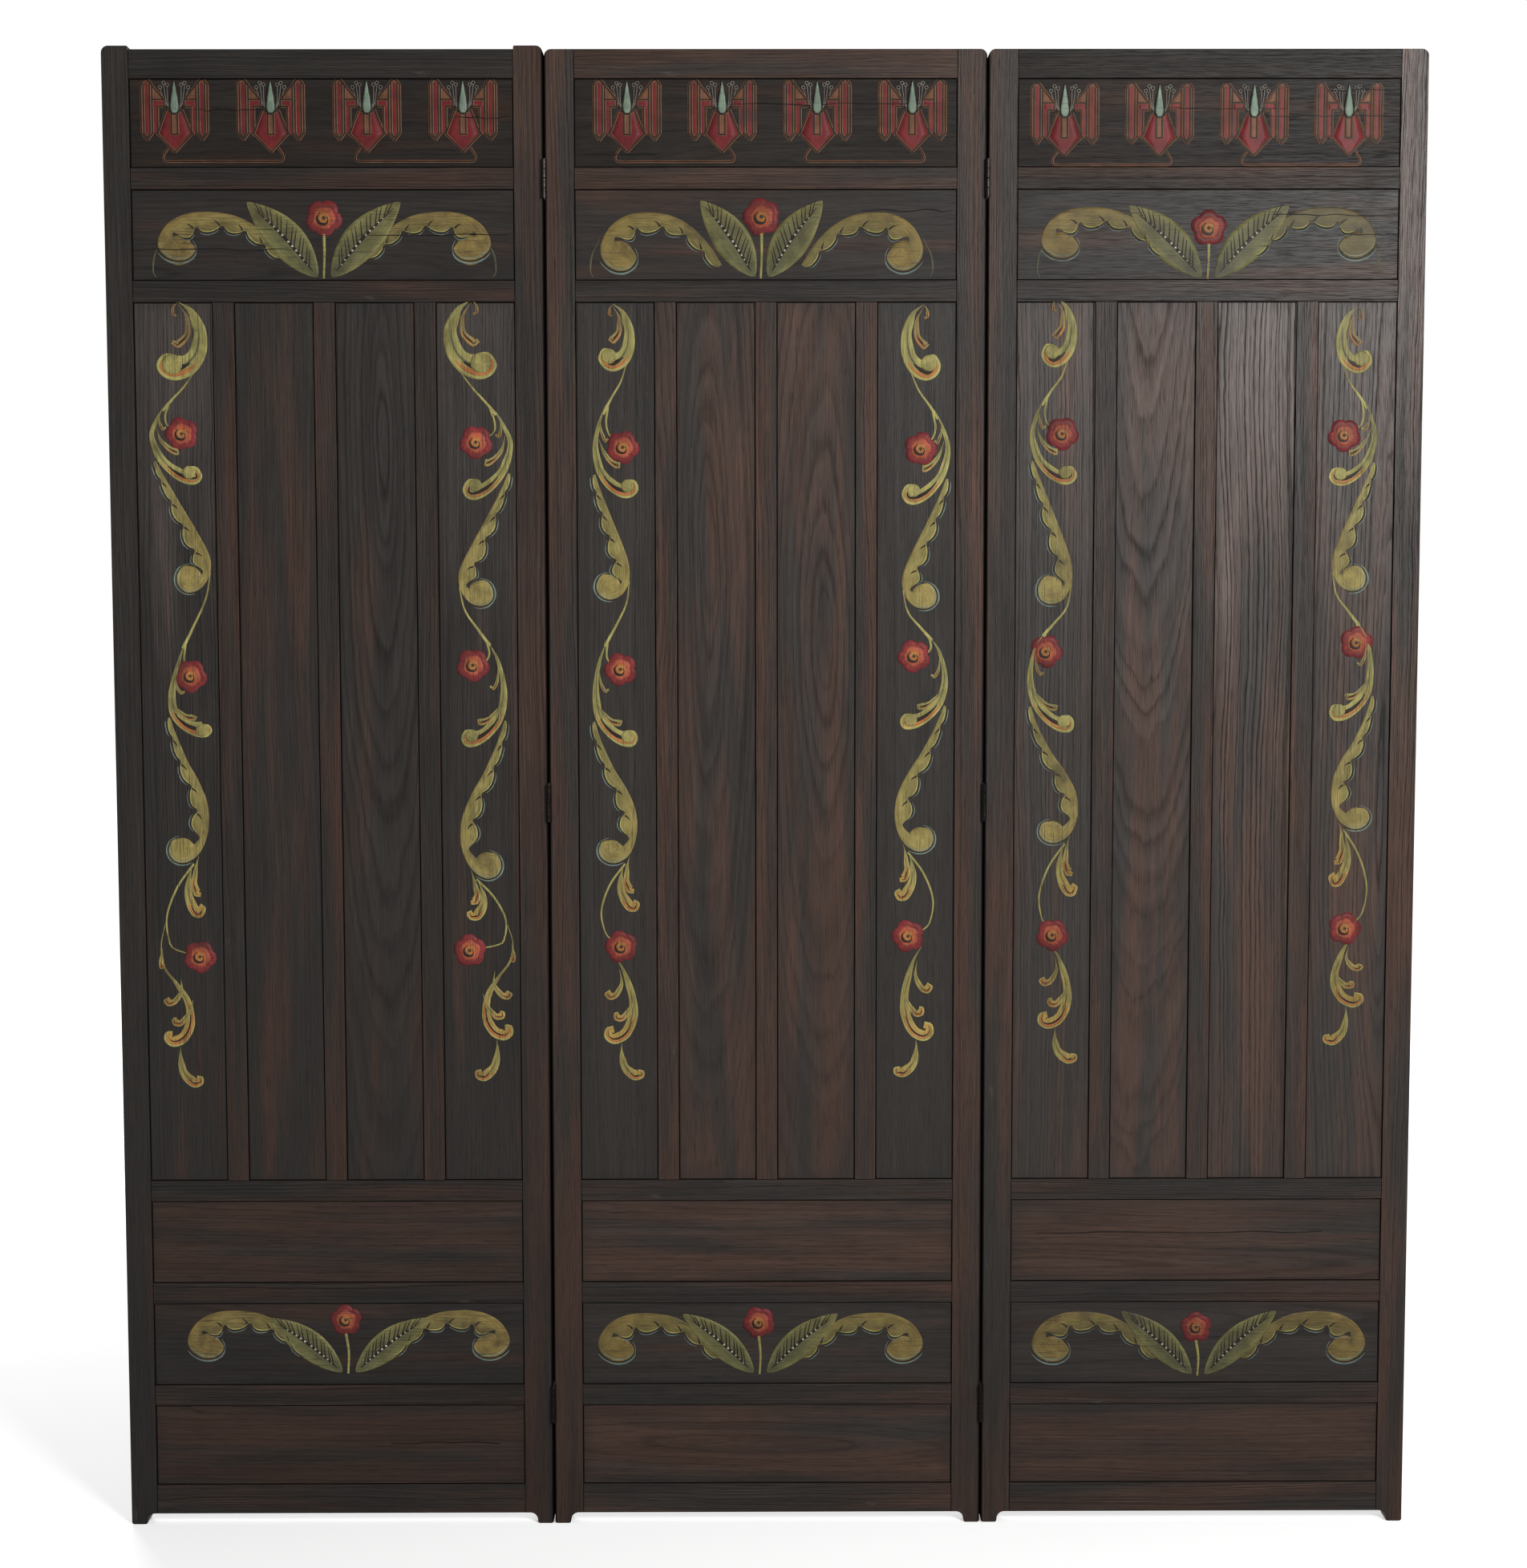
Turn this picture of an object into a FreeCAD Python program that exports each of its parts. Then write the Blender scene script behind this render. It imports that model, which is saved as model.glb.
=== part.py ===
import FreeCAD, Part
import math
import os
import re

import Sketcher

# Three-leaf folding screen in millimetres: X across the screen, -Y towards the viewer, Z up from the floor.
# Each leaf is a tenoned frame with boards in grooves, and the leaves hang on two-way hinges.

SHEET = "Sizes"

SIZES = {
    # Frame members as seen from the front
    "opening_width": 440,
    "frame_thickness": 25,
    "stile_width": 33.5,
    "outer_stile_width": 30.5,
    "top_rail_width": 32.5,
    "rail_width": 24,
    "bottom_rail_width": 34.5,
    "muntin_width": 24,
    # Clear heights of the board openings
    "frieze_opening": 101,
    "crest_opening": 104,
    "tall_opening": 1028,
    "base_upper_opening": 99.5,
    "base_painted_opening": 100,
    "base_lower_opening": 97.5,
    # Feet and stile tops
    "foot_height": 13,
    "foot_width": 19,
    "foot_corner": 3,
    "foot_cove": 9,
    "stile_top_round": 8,
    "left_horn": 4,
    "horn_round": 2,
    # Grooves, tongues and tenons
    "groove_width": 7,
    "groove_depth": 6.5,
    "tongue_length": 6,
    "fit_clearance": 0.1,
    "board_setback": 2,
    "board_seam": 0.5,
    "tenon_length": 20,
    "tenon_end_gap": 0.5,
    "haunch": 8,
    # Two-way hinges
    "joint_gap": 1.8,
    "hinge_inset": 146,
    "hinge_height": 44,
    "barrel_radius": 3,
    "leaf_thickness": 1.4,
    "link_thickness": 1.8,
    "pin_radius": 1.3,
    "pin_clearance": 0.05,
    "pin_standoff": 3.2,
    "knuckle_gap": 0.3,
    "swing_clearance": 0.4,
    "leaf_fit": 0.1,
}

MUNTIN_COUNT = 3
HINGE_COUNT = 3
BARREL_SIDES = 12

# Members of one leaf from the feet up, each with the size that gives its height
STACK = (
    ("bottom_rail", "bottom_rail_width"),
    ("base_board_lower", "base_lower_opening"),
    ("base_rail_lower", "rail_width"),
    ("base_board_painted", "base_painted_opening"),
    ("base_rail_upper", "rail_width"),
    ("base_board_upper", "base_upper_opening"),
    ("middle_rail", "rail_width"),
    ("tall_boards", "tall_opening"),
    ("crest_rail", "rail_width"),
    ("crest_board", "crest_opening"),
    ("frieze_rail", "rail_width"),
    ("frieze_board", "frieze_opening"),
    ("top_rail", "top_rail_width"),
)
HEIGHT_OF = dict(STACK)
RAILS = [member for member, height in STACK if member.endswith("rail") or "_rail_" in member]
BOARDS = [member for member, height in STACK if "_board" in member and member != "tall_boards"]

# Height of each member's lower edge above the floor
BOTTOM_OF = {}
SCREEN_HEIGHT = "foot_height"
for member, height in STACK:
    BOTTOM_OF[member] = SCREEN_HEIGHT
    SCREEN_HEIGHT += f" + {height}"

# Sizes that follow from the driving ones
BAY_WIDTH = f"((opening_width - {MUNTIN_COUNT} * muntin_width) / {MUNTIN_COUNT + 1})"
BAY_PITCH = f"({BAY_WIDTH} + muntin_width)"
TONGUE_THICKNESS = "(groove_width - 2 * fit_clearance)"
LEAF_PITCH = "(opening_width + 2 * stile_width + joint_gap)"
HINGE_SPACING = f"({SCREEN_HEIGHT} - 2 * hinge_inset) / {HINGE_COUNT - 1}"
KNUCKLE_LENGTH = "((hinge_height - 3 * knuckle_gap) / 4)"
HALF_BARREL = f"(2 * {KNUCKLE_LENGTH} + knuckle_gap)"
PIN_OFFSET = "(frame_thickness / 2 + pin_standoff)"
PLATE_REACH = f"({PIN_OFFSET} - barrel_radius - swing_clearance)"
BORE_RADIUS = f"((pin_radius + pin_clearance) / cos({180 / BARREL_SIDES}))"

doc = FreeCAD.newDocument("FoldingScreen")
sheet = doc.addObject("Spreadsheet::Sheet", SHEET)
for row, (size, number) in enumerate(SIZES.items(), 1):
    sheet.set(f"A{row}", size)
    sheet.set(f"B{row}", str(number))
    sheet.setAlias(f"B{row}", size)
doc.recompute()


def bound(text):
    """Turn each size name in an expression into a reference to its cell."""
    return re.sub(r"[a-z_]+", lambda word: f"{SHEET}.{word[0]}" if word[0] in SIZES else word[0], text)


def number_of(text):
    return float(sheet.evalExpression(bound(text)))


def origin_feature(body, role):
    return next(feature for feature in body.Origin.OriginFeatures if feature.Role == role)


def new_body(name):
    body = doc.addObject("PartDesign::Body", name)
    body.Label = name
    body.AllowCompound = True
    return body


def new_sketch(body, plane, lift=None):
    sketch = body.newObject("Sketcher::SketchObject", "Profile")
    sketch.AttachmentSupport = [(origin_feature(body, plane), "")]
    sketch.MapMode = "FlatFace"
    if lift is not None:
        sketch.setExpression("AttachmentOffset.Base.z", bound(lift))
    return sketch


def drive(sketch, kind, references, size):
    """Add a dimension that follows an expression."""
    index = sketch.addConstraint(Sketcher.Constraint(kind, *references, number_of(size)))
    sketch.setExpression(f"Constraints[{index}]", bound(size))


def fix_across(sketch, geometry, point, across):
    if across == "0":
        sketch.addConstraint(Sketcher.Constraint("PointOnObject", geometry, point, -2))
    else:
        drive(sketch, "DistanceX", (-1, 1, geometry, point), across)


def fix_up(sketch, geometry, point, up):
    if up == "0":
        sketch.addConstraint(Sketcher.Constraint("PointOnObject", geometry, point, -1))
    else:
        drive(sketch, "DistanceY", (-1, 1, geometry, point), up)


def add_outline(sketch, corners):
    """Close a loop of level and upright edges; a corner is (across, up) or (across, up, radius)."""
    points = [FreeCAD.Vector(number_of(corner[0]), number_of(corner[1]), 0) for corner in corners]
    count = len(corners)
    headings = [(points[(i + 1) % count] - points[i]).normalize() for i in range(count)]
    radii = [corner[2] if len(corner) > 2 else None for corner in corners]
    setbacks = [number_of(radius) if radius else 0 for radius in radii]
    edges = []
    for i in range(count):
        after = (i + 1) % count
        start = points[i] + headings[i] * setbacks[i]
        end = points[after] - headings[i] * setbacks[after]
        edge = sketch.addGeometry(Part.LineSegment(start, end))
        edges.append(edge)
        if corners[i][1] == corners[after][1]:
            sketch.addConstraint(Sketcher.Constraint("Horizontal", edge))
            fix_up(sketch, edge, 1, corners[i][1])
        else:
            sketch.addConstraint(Sketcher.Constraint("Vertical", edge))
            fix_across(sketch, edge, 1, corners[i][0])
    for i in range(count):
        before, after = edges[i - 1], edges[i]
        if radii[i] is None:
            sketch.addConstraint(Sketcher.Constraint("Coincident", before, 2, after, 1))
            continue
        centre = points[i] - headings[i - 1] * setbacks[i] + headings[i] * setbacks[i]
        left_turn = headings[i - 1].cross(headings[i]).z > 0
        first = headings[i] * -1 if left_turn else headings[i - 1]
        start_angle = math.atan2(first.y, first.x)
        ring = Part.Circle(centre, FreeCAD.Vector(0, 0, 1), setbacks[i])
        arc = sketch.addGeometry(Part.ArcOfCircle(ring, start_angle, start_angle + math.pi / 2))
        arc_start, arc_end = (1, 2) if left_turn else (2, 1)
        sketch.addConstraint(Sketcher.Constraint("Tangent", before, 2, arc, arc_start))
        sketch.addConstraint(Sketcher.Constraint("Tangent", after, 1, arc, arc_end))
        drive(sketch, "Radius", (arc,), radii[i])


def add_rectangle(sketch, left, right, low, high):
    add_outline(sketch, [(left, low), (right, low), (right, high), (left, high)])


def add_circle(sketch, across, up, radius):
    centre = FreeCAD.Vector(number_of(across), number_of(up), 0)
    circle = sketch.addGeometry(Part.Circle(centre, FreeCAD.Vector(0, 0, 1), number_of(radius)))
    fix_across(sketch, circle, 3, across)
    fix_up(sketch, circle, 3, up)
    drive(sketch, "Radius", (circle,), radius)


def extrude(body, kind, sketch, length, symmetric=False):
    feature = body.newObject(f"PartDesign::{kind}", kind)
    feature.Profile = sketch
    feature.SideType = "Symmetric" if symmetric else "One side"
    feature.setExpression("Length", bound(length))
    body.Tip = feature
    return feature


def add_knuckle(body, level, axis):
    """Faceted barrel round a pin, bored for it."""
    for kind, radius in (("Additive", "barrel_radius"), ("Subtractive", BORE_RADIUS)):
        prism = body.newObject(f"PartDesign::{kind}Prism", kind)
        prism.AttachmentSupport = [(origin_feature(body, "XY_Plane"), "")]
        prism.MapMode = "FlatFace"
        prism.setExpression("AttachmentOffset.Base.y", bound(axis))
        prism.setExpression("AttachmentOffset.Base.z", bound(level))
        prism.Polygon = BARREL_SIDES
        prism.setExpression("Circumradius", bound(radius))
        prism.setExpression("Height", bound(KNUCKLE_LENGTH))
        body.Tip = prism


def repeat(body, axis, spacing, count):
    """Copy every feature of the body along one axis."""
    features = [feature for feature in body.Group if feature.isDerivedFrom("PartDesign::FeatureAddSub")]
    copies = body.newObject("PartDesign::LinearPattern", "Copies")
    copies.Originals = features
    copies.Direction = (origin_feature(body, axis), [""])
    copies.Mode = "Spacing"
    copies.setExpression("Offset", bound(spacing))
    copies.Occurrences = count
    body.Tip = copies


def place(body, across, up, turned=False):
    body.Placement.Rotation = FreeCAD.Rotation(FreeCAD.Vector(0, 0, 1), 180 if turned else 0)
    body.setExpression("Placement.Base.x", bound(across))
    body.setExpression("Placement.Base.z", bound(up))
    return body


def tenon_span(rail):
    """Lower and upper edge of a rail's tenon, measured from the rail's lower edge."""
    low = "haunch" if rail == "bottom_rail" else "groove_depth"
    high = "haunch" if rail == "top_rail" else "groove_depth"
    return low, f"{HEIGHT_OF[rail]} - {high}"


def grooved_section(half_width, half_depth, low_groove=True, high_groove=True):
    """Corners of a bar's section with a centred groove in its lower and upper edge."""
    half_groove = "groove_width / 2"

    def edge(across_sign, level, floor, grooved):
        near, far = (f"-{half_depth}", half_depth) if across_sign > 0 else (half_depth, f"-{half_depth}")
        first, second = (f"-{half_groove}", half_groove) if across_sign > 0 else (half_groove, f"-{half_groove}")
        run = [(near, level)]
        if grooved:
            run += [(first, level), (first, floor), (second, floor), (second, level)]
        return run + [(far, level)]

    lower = edge(1, f"-{half_width}", f"-{half_width} + groove_depth", low_groove)
    upper = edge(-1, half_width, f"{half_width} - groove_depth", high_groove)
    return lower + upper


def make_rail(name, rail):
    width = HEIGHT_OF[rail]
    half_width = f"{width} / 2"
    body = new_body(name)
    section = new_sketch(body, "YZ_Plane")
    add_outline(section, grooved_section(half_width, "frame_thickness / 2",
                                         low_groove=rail != "bottom_rail", high_groove=rail != "top_rail"))
    extrude(body, "Pad", section, "opening_width", symmetric=True)
    low, high = tenon_span(rail)
    tenon = new_sketch(body, "YZ_Plane")
    half_tenon = f"{TONGUE_THICKNESS} / 2"
    add_rectangle(tenon, f"-{half_tenon}", half_tenon, f"{low} - {half_width}", f"{high} - {half_width}")
    extrude(body, "Pad", tenon, "opening_width + 2 * tenon_length", symmetric=True)
    return body


def make_stile(name, width, horn):
    """Stile drawn from its outer edge at x = 0 to its inner edge, with the floor at z = 0."""
    body = new_body(name)
    top = f"{SCREEN_HEIGHT} + {horn}" if horn else SCREEN_HEIGHT
    inner_top = (width, top, "horn_round") if horn else (width, top)
    face = new_sketch(body, "XZ_Plane")
    add_outline(face, [("0", "0", "foot_corner"), ("foot_width", "0", "foot_corner"),
                       ("foot_width", "foot_height", "foot_cove"), (width, "foot_height"),
                       inner_top, ("0", top, "stile_top_round")])
    extrude(body, "Pad", face, "frame_thickness", symmetric=True)
    groove = new_sketch(body, "XZ_Plane")
    add_rectangle(groove, f"{width} - groove_depth", width,
                  f"{BOTTOM_OF['base_board_lower']} - groove_depth", f"{BOTTOM_OF['top_rail']} + groove_depth")
    extrude(body, "Pocket", groove, "groove_width", symmetric=True)
    mortises = new_sketch(body, "XZ_Plane")
    for rail in RAILS:
        low, high = tenon_span(rail)
        add_rectangle(mortises, f"{width} - tenon_length - tenon_end_gap", width,
                      f"{BOTTOM_OF[rail]} + {low} - fit_clearance", f"{BOTTOM_OF[rail]} + {high} + fit_clearance")
    extrude(body, "Pocket", mortises, "groove_width", symmetric=True)
    if width != "outer_stile_width":
        recesses = new_sketch(body, "XZ_Plane")
        for i in range(HINGE_COUNT):
            centre = f"hinge_inset + {i} * {HINGE_SPACING}"
            add_rectangle(recesses, "0", "barrel_radius - joint_gap / 2",
                          f"{centre} - hinge_height / 2 - leaf_fit", f"{centre} + hinge_height / 2 + leaf_fit")
        cut = extrude(body, "Pocket", recesses, "frame_thickness", symmetric=True)
        cut.Type = "ThroughAll"
    return body


def make_muntins(name):
    body = new_body(name)
    section = new_sketch(body, "XY_Plane")
    first = f"-{BAY_PITCH}"
    left, right = f"{first} - muntin_width / 2", f"{first} + muntin_width / 2"
    left_floor, right_floor = f"{left} + groove_depth", f"{right} - groove_depth"
    front, back = "-frame_thickness / 2", "frame_thickness / 2"
    groove_front, groove_back = "-groove_width / 2", "groove_width / 2"
    add_outline(section, [(left, front), (right, front), (right, groove_front), (right_floor, groove_front),
                          (right_floor, groove_back), (right, groove_back), (right, back), (left, back),
                          (left, groove_back), (left_floor, groove_back), (left_floor, groove_front),
                          (left, groove_front)])
    extrude(body, "Pad", section, "tall_opening")
    stub = new_sketch(body, "XY_Plane", "-tongue_length")
    half_tenon = f"{TONGUE_THICKNESS} / 2"
    add_rectangle(stub, left_floor, right_floor, f"-{half_tenon}", half_tenon)
    extrude(body, "Pad", stub, "tall_opening + 2 * tongue_length")
    repeat(body, "X_Axis", BAY_PITCH, MUNTIN_COUNT)
    return body


def make_board(name, width, height, centre="0"):
    """Board with a tongue all round, its field standing forward almost to the face of the frame."""
    body = new_body(name)
    for margin, thickness, symmetric in (("tongue_length", TONGUE_THICKNESS, True),
                                         ("-board_seam", "frame_thickness / 2 - board_setback", False)):
        face = new_sketch(body, "XZ_Plane")
        add_rectangle(face, f"{centre} - {width} / 2 - {margin}", f"{centre} + {width} / 2 + {margin}",
                      f"-{height} / 2 - {margin}", f"{height} / 2 + {margin}")
        extrude(body, "Pad", face, thickness, symmetric)
    return body


def hinge_level(step):
    """Lower end of the knuckle at one of the four levels of the lowest hinge."""
    return f"hinge_inset - hinge_height / 2 + {step} * ({KNUCKLE_LENGTH} + knuckle_gap)"


def make_hinge_leaves(name):
    """Leaves let into the stile on the left, with knuckles at the front bottom and the back top."""
    body = new_body(name)
    outer, inner = "-barrel_radius", "leaf_thickness - barrel_radius"
    plate = new_sketch(body, "XY_Plane", hinge_level(0))
    add_rectangle(plate, outer, inner, f"-{PLATE_REACH}", PLATE_REACH)
    extrude(body, "Pad", plate, "hinge_height")
    for level, near, axis in ((0, f"-{PLATE_REACH}", f"-{PIN_OFFSET}"), (3, PLATE_REACH, PIN_OFFSET)):
        strap = new_sketch(body, "XY_Plane", hinge_level(level))
        add_rectangle(strap, outer, inner, axis, near)
        extrude(body, "Pad", strap, KNUCKLE_LENGTH)
        add_knuckle(body, hinge_level(level), axis)
    repeat(body, "Z_Axis", HINGE_SPACING, HINGE_COUNT)
    return body


def make_hinge_links(name, plate_level, knuckle_level):
    """Links that join the front pins to the back pins through the gap between the stiles."""
    body = new_body(name)
    half_link = "link_thickness / 2"
    tab_reach = f"({PIN_OFFSET} - (barrel_radius + {BORE_RADIUS}) / 2)"
    for level, reach, length in ((plate_level, PLATE_REACH, HALF_BARREL), (knuckle_level, tab_reach, KNUCKLE_LENGTH)):
        plate = new_sketch(body, "XY_Plane", hinge_level(level))
        add_rectangle(plate, f"-{half_link}", half_link, f"-{reach}", reach)
        extrude(body, "Pad", plate, length)
    for axis in (f"-{PIN_OFFSET}", PIN_OFFSET):
        add_knuckle(body, hinge_level(knuckle_level), axis)
    repeat(body, "Z_Axis", HINGE_SPACING, HINGE_COUNT)
    return body


def make_hinge_pins(name):
    """Pins of one leaf: front bottom and back top."""
    body = new_body(name)
    for level, axis in ((0, f"-{PIN_OFFSET}"), (2, PIN_OFFSET)):
        pin = new_sketch(body, "XY_Plane", hinge_level(level))
        add_circle(pin, "0", axis, "pin_radius")
        extrude(body, "Pad", pin, HALF_BARREL)
    repeat(body, "Z_Axis", HINGE_SPACING, HINGE_COUNT)
    return body


pieces = []

# Frames and boards of the three leaves
for side, centre, horn, left_width, right_width in (
    ("left", f"-{LEAF_PITCH}", "left_horn", "outer_stile_width", "stile_width"),
    ("middle", "0", None, "stile_width", "stile_width"),
    ("right", LEAF_PITCH, None, "stile_width", "outer_stile_width"),
):
    left_stile = make_stile(f"{side}_stile_left", left_width, horn)
    pieces.append(place(left_stile, f"{centre} - opening_width / 2 - {left_width}", "0"))
    right_stile = make_stile(f"{side}_stile_right", right_width, horn)
    pieces.append(place(right_stile, f"{centre} + opening_width / 2 + {right_width}", "0", turned=True))
    for rail in RAILS:
        pieces.append(place(make_rail(f"{side}_{rail}", rail), centre, f"{BOTTOM_OF[rail]} + {HEIGHT_OF[rail]} / 2"))
    pieces.append(place(make_muntins(f"{side}_muntins"), centre, BOTTOM_OF["tall_boards"]))
    first_bay = f"-{MUNTIN_COUNT / 2} * {BAY_PITCH}"
    tall_boards = make_board(f"{side}_tall_boards", BAY_WIDTH, "tall_opening", first_bay)
    repeat(tall_boards, "X_Axis", BAY_PITCH, MUNTIN_COUNT + 1)
    pieces.append(place(tall_boards, centre, f"{BOTTOM_OF['tall_boards']} + tall_opening / 2"))
    for board in BOARDS:
        height = HEIGHT_OF[board]
        body = make_board(f"{side}_{board}", "opening_width", height)
        pieces.append(place(body, centre, f"{BOTTOM_OF[board]} + {height} / 2"))

# Hinges of the two joints
for side, centre, left_leaf, right_leaf in (
    ("left", f"-{LEAF_PITCH} / 2", "outer", "inner"),
    ("right", f"{LEAF_PITCH} / 2", "inner", "outer"),
):
    for leaf, turned in ((left_leaf, False), (right_leaf, True)):
        pieces.append(place(make_hinge_leaves(f"{side}_hinge_{leaf}_leaves"), centre, "0", turned))
        pieces.append(place(make_hinge_pins(f"{side}_hinge_{leaf}_pins"), centre, "0", turned))
    pieces.append(place(make_hinge_links(f"{side}_hinge_lower_links", 0, 1), centre, "0"))
    pieces.append(place(make_hinge_links(f"{side}_hinge_upper_links", 2, 2), centre, "0"))

doc.recompute()

# Every sketch, feature and piece must be sound before anything is written
for item in doc.Objects:
    if "Invalid" in item.State or "Error" in item.State:
        raise RuntimeError(f"{item.Label} did not rebuild")
    if item.isDerivedFrom("Sketcher::SketchObject") and not item.FullyConstrained:
        raise RuntimeError(f"{item.Label} is not fully constrained")
for piece in pieces:
    if piece.Shape.isNull() or not piece.Shape.isValid():
        raise RuntimeError(f"{piece.Label} has no valid shape")

os.makedirs("parts", exist_ok=True)
for piece in pieces:
    piece.Shape.exportStep(f"parts/{piece.Label}.step")
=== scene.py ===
import math
import random
from collections import namedtuple
from functools import partialmethod

import bpy
from mathutils import Matrix, Vector


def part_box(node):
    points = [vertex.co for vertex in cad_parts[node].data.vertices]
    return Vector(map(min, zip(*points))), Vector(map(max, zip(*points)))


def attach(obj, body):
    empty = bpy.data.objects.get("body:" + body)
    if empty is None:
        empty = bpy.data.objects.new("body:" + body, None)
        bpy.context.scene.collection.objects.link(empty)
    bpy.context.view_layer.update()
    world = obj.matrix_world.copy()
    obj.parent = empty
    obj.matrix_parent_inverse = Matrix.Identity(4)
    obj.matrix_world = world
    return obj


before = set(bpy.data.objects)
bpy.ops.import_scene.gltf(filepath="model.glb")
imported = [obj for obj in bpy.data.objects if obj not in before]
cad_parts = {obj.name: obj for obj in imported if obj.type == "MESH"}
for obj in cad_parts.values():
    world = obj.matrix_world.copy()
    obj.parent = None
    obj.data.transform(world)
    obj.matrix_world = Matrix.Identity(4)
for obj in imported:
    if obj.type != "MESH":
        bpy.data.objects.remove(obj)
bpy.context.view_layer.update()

MM = 0.001
LEAVES = ("left", "middle", "right")
JOINTS = {"left": ("left_panel", "middle_panel"), "right": ("middle_panel", "right_panel")}


def colour(*display):
    """Linear colour of a tint named by its display values."""
    shares = [value / 255 for value in display]
    return (*(s / 12.92 if s <= 0.04045 else ((s + 0.055) / 1.055) ** 2.4 for s in shares), 1.0)


def blend(first, second, share):
    return tuple(a + (b - a) * share for a, b in zip(first, second))


# Tints of the fumed wood
STAIN_AND_SHADE_BLACK = colour(29, 27, 25)
STAIN_BROWN = colour(38, 31, 27)
GRAIN_GREY = colour(50, 46, 43)
GRAIN_RED = colour(73, 53, 44)
# Grey of rubbed and bleaching wood, also painted as sheen on the upper boards
PALE_WEAR_AND_SHEEN_GREY = colour(88, 80, 76)
PORE_AND_SHADE_BLACK = colour(13, 11, 10)
WORN = colour(104, 70, 54)
DUST = colour(84, 79, 74)

# Tints of the paint
OLIVE = colour(108, 101, 60)
OLIVE_DARK = colour(70, 72, 52)
LIME = colour(140, 134, 80)
OCHRE = colour(128, 104, 58)
ORANGE = colour(142, 82, 46)
GOLD = colour(138, 108, 54)
RUST = colour(92, 57, 41)
TEAL = colour(92, 104, 98)
CRIMSON = colour(100, 36, 38)
CRIMSON_DARK = colour(76, 29, 33)
PETAL = colour(132, 64, 50)
SHADOW = colour(30, 24, 21)
CHALK = colour(158, 154, 140)


# Shader building

class Value:
    """What a shader's socket carries, for plain arithmetic."""

    def __init__(self, shader, socket):
        self.shader, self.socket = shader, socket

    def combine(self, operation, other):
        return self.shader.math(operation, self, other)

    __add__ = __radd__ = partialmethod(combine, "ADD")
    __sub__ = partialmethod(combine, "SUBTRACT")
    __mul__ = __rmul__ = partialmethod(combine, "MULTIPLY")
    __truediv__ = partialmethod(combine, "DIVIDE")

    def __rsub__(self, other):
        return self.shader.math("SUBTRACT", other, self)

    def remap(self, low, high, to_low=0.0, to_high=1.0):
        """Eases from one range into another."""
        return self.shader.read("MapRange", 0, {
            "Value": self, "From Min": low, "From Max": high, "To Min": to_low, "To Max": to_high,
        }, interpolation_type="SMOOTHSTEP")

    def within(self, low, high):
        """How far a value lies inside its two bounds."""
        return self.shader.math("MINIMUM", self - low, high - self)


class Shader:
    """The linked nodes of one material or world."""

    def __init__(self, owner):
        owner.use_nodes = True
        self.owner = owner
        self.nodes, self.links = owner.node_tree.nodes, owner.node_tree.links

    def feed(self, socket, value):
        if isinstance(value, Value):
            self.links.new(value.socket, socket)
        else:
            socket.default_value = value

    def add(self, kind, inputs=None, **settings):
        node = self.nodes.new(f"ShaderNode{kind}")
        for key, value in settings.items():
            setattr(node, key, value)
        for key, value in (inputs or {}).items():
            self.feed(node.inputs[key], value)
        return node

    def read(self, kind, output, inputs=None, **settings):
        """What one output of a new node gives."""
        return Value(self, self.add(kind, inputs, **settings).outputs[output])

    def math(self, operation, first, second=0.0, third=0.0):
        return self.read("Math", 0, {0: first, 1: second, 2: third}, operation=operation)

    def split(self, vector):
        return [Value(self, socket) for socket in self.add("SeparateXYZ", {0: vector}).outputs]

    def place(self):
        """Object coordinates in millimetres."""
        coordinates = self.read("TexCoord", "Object")
        scaled = self.read("VectorMath", 0, {0: coordinates, "Scale": 1 / MM}, operation="SCALE")
        return self.split(scaled)

    def point(self, x, y, z):
        return self.read("CombineXYZ", 0, {0: x, 1: y, 2: z})

    def noise(self, x, y, z, scales, detail=2.0, roughness=0.5):
        """Noise whose cells are stretched by a different scale on each axis."""
        scaled = [self.math("MULTIPLY", value, scale) for value, scale in zip((x, y, z), scales)]
        return self.read("TexNoise", 0, {
            "Vector": self.point(*scaled), "Scale": 1.0, "Detail": detail, "Roughness": roughness})

    def ramp(self, value, stops):
        node = self.add("ValToRGB", {0: value})
        elements = node.color_ramp.elements
        while len(elements) < len(stops):
            elements.new(0.5)
        for element, (position, grey) in zip(elements, stops):
            element.position = position
            element.color = (grey, grey, grey, 1.0)
        return Value(self, node.outputs[0])

    def pick(self, number, values):
        """The value that belongs to a whole number from nought upwards."""
        return sum(self.math("COMPARE", number, place, 0.5) * value for place, value in enumerate(values))

    def mix(self, share, first, second, kind="MIX"):
        return self.read("Mix", 2, {0: share, 6: first, 7: second}, data_type="RGBA", blend_type=kind)

    def shaded(self, tint, shade):
        return self.mix(1.0, tint, self.point(shade, shade, shade), "MULTIPLY")

    def seen_by_eye(self, seen, unseen):
        """One strength for what camera, mirrors and glass see, and one for the light on the object."""
        path = self.add("LightPath")
        camera, mirror, glass = (Value(self, path.outputs[f"Is {ray} Ray"])
                                 for ray in ("Camera", "Glossy", "Transmission"))
        eye = self.math("MAXIMUM", self.math("MAXIMUM", camera, mirror), glass)
        return self.read("MapRange", 0, {"Value": eye, "To Min": unseen, "To Max": seen})

    def surface(self, inputs):
        for name, value in inputs.items():
            self.feed(self.nodes["Principled BSDF"].inputs[name], value)
        return self.owner

    def finish(self, base, roughness, height, relief, specular, metallic=0.0):
        normal = self.read("Bump", 0, {"Strength": BUMP, "Distance": relief, "Height": height})
        return self.surface({"Base Color": base, "Roughness": roughness, "Normal": normal,
                             "Specular IOR Level": specular, "Metallic": metallic})


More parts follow.
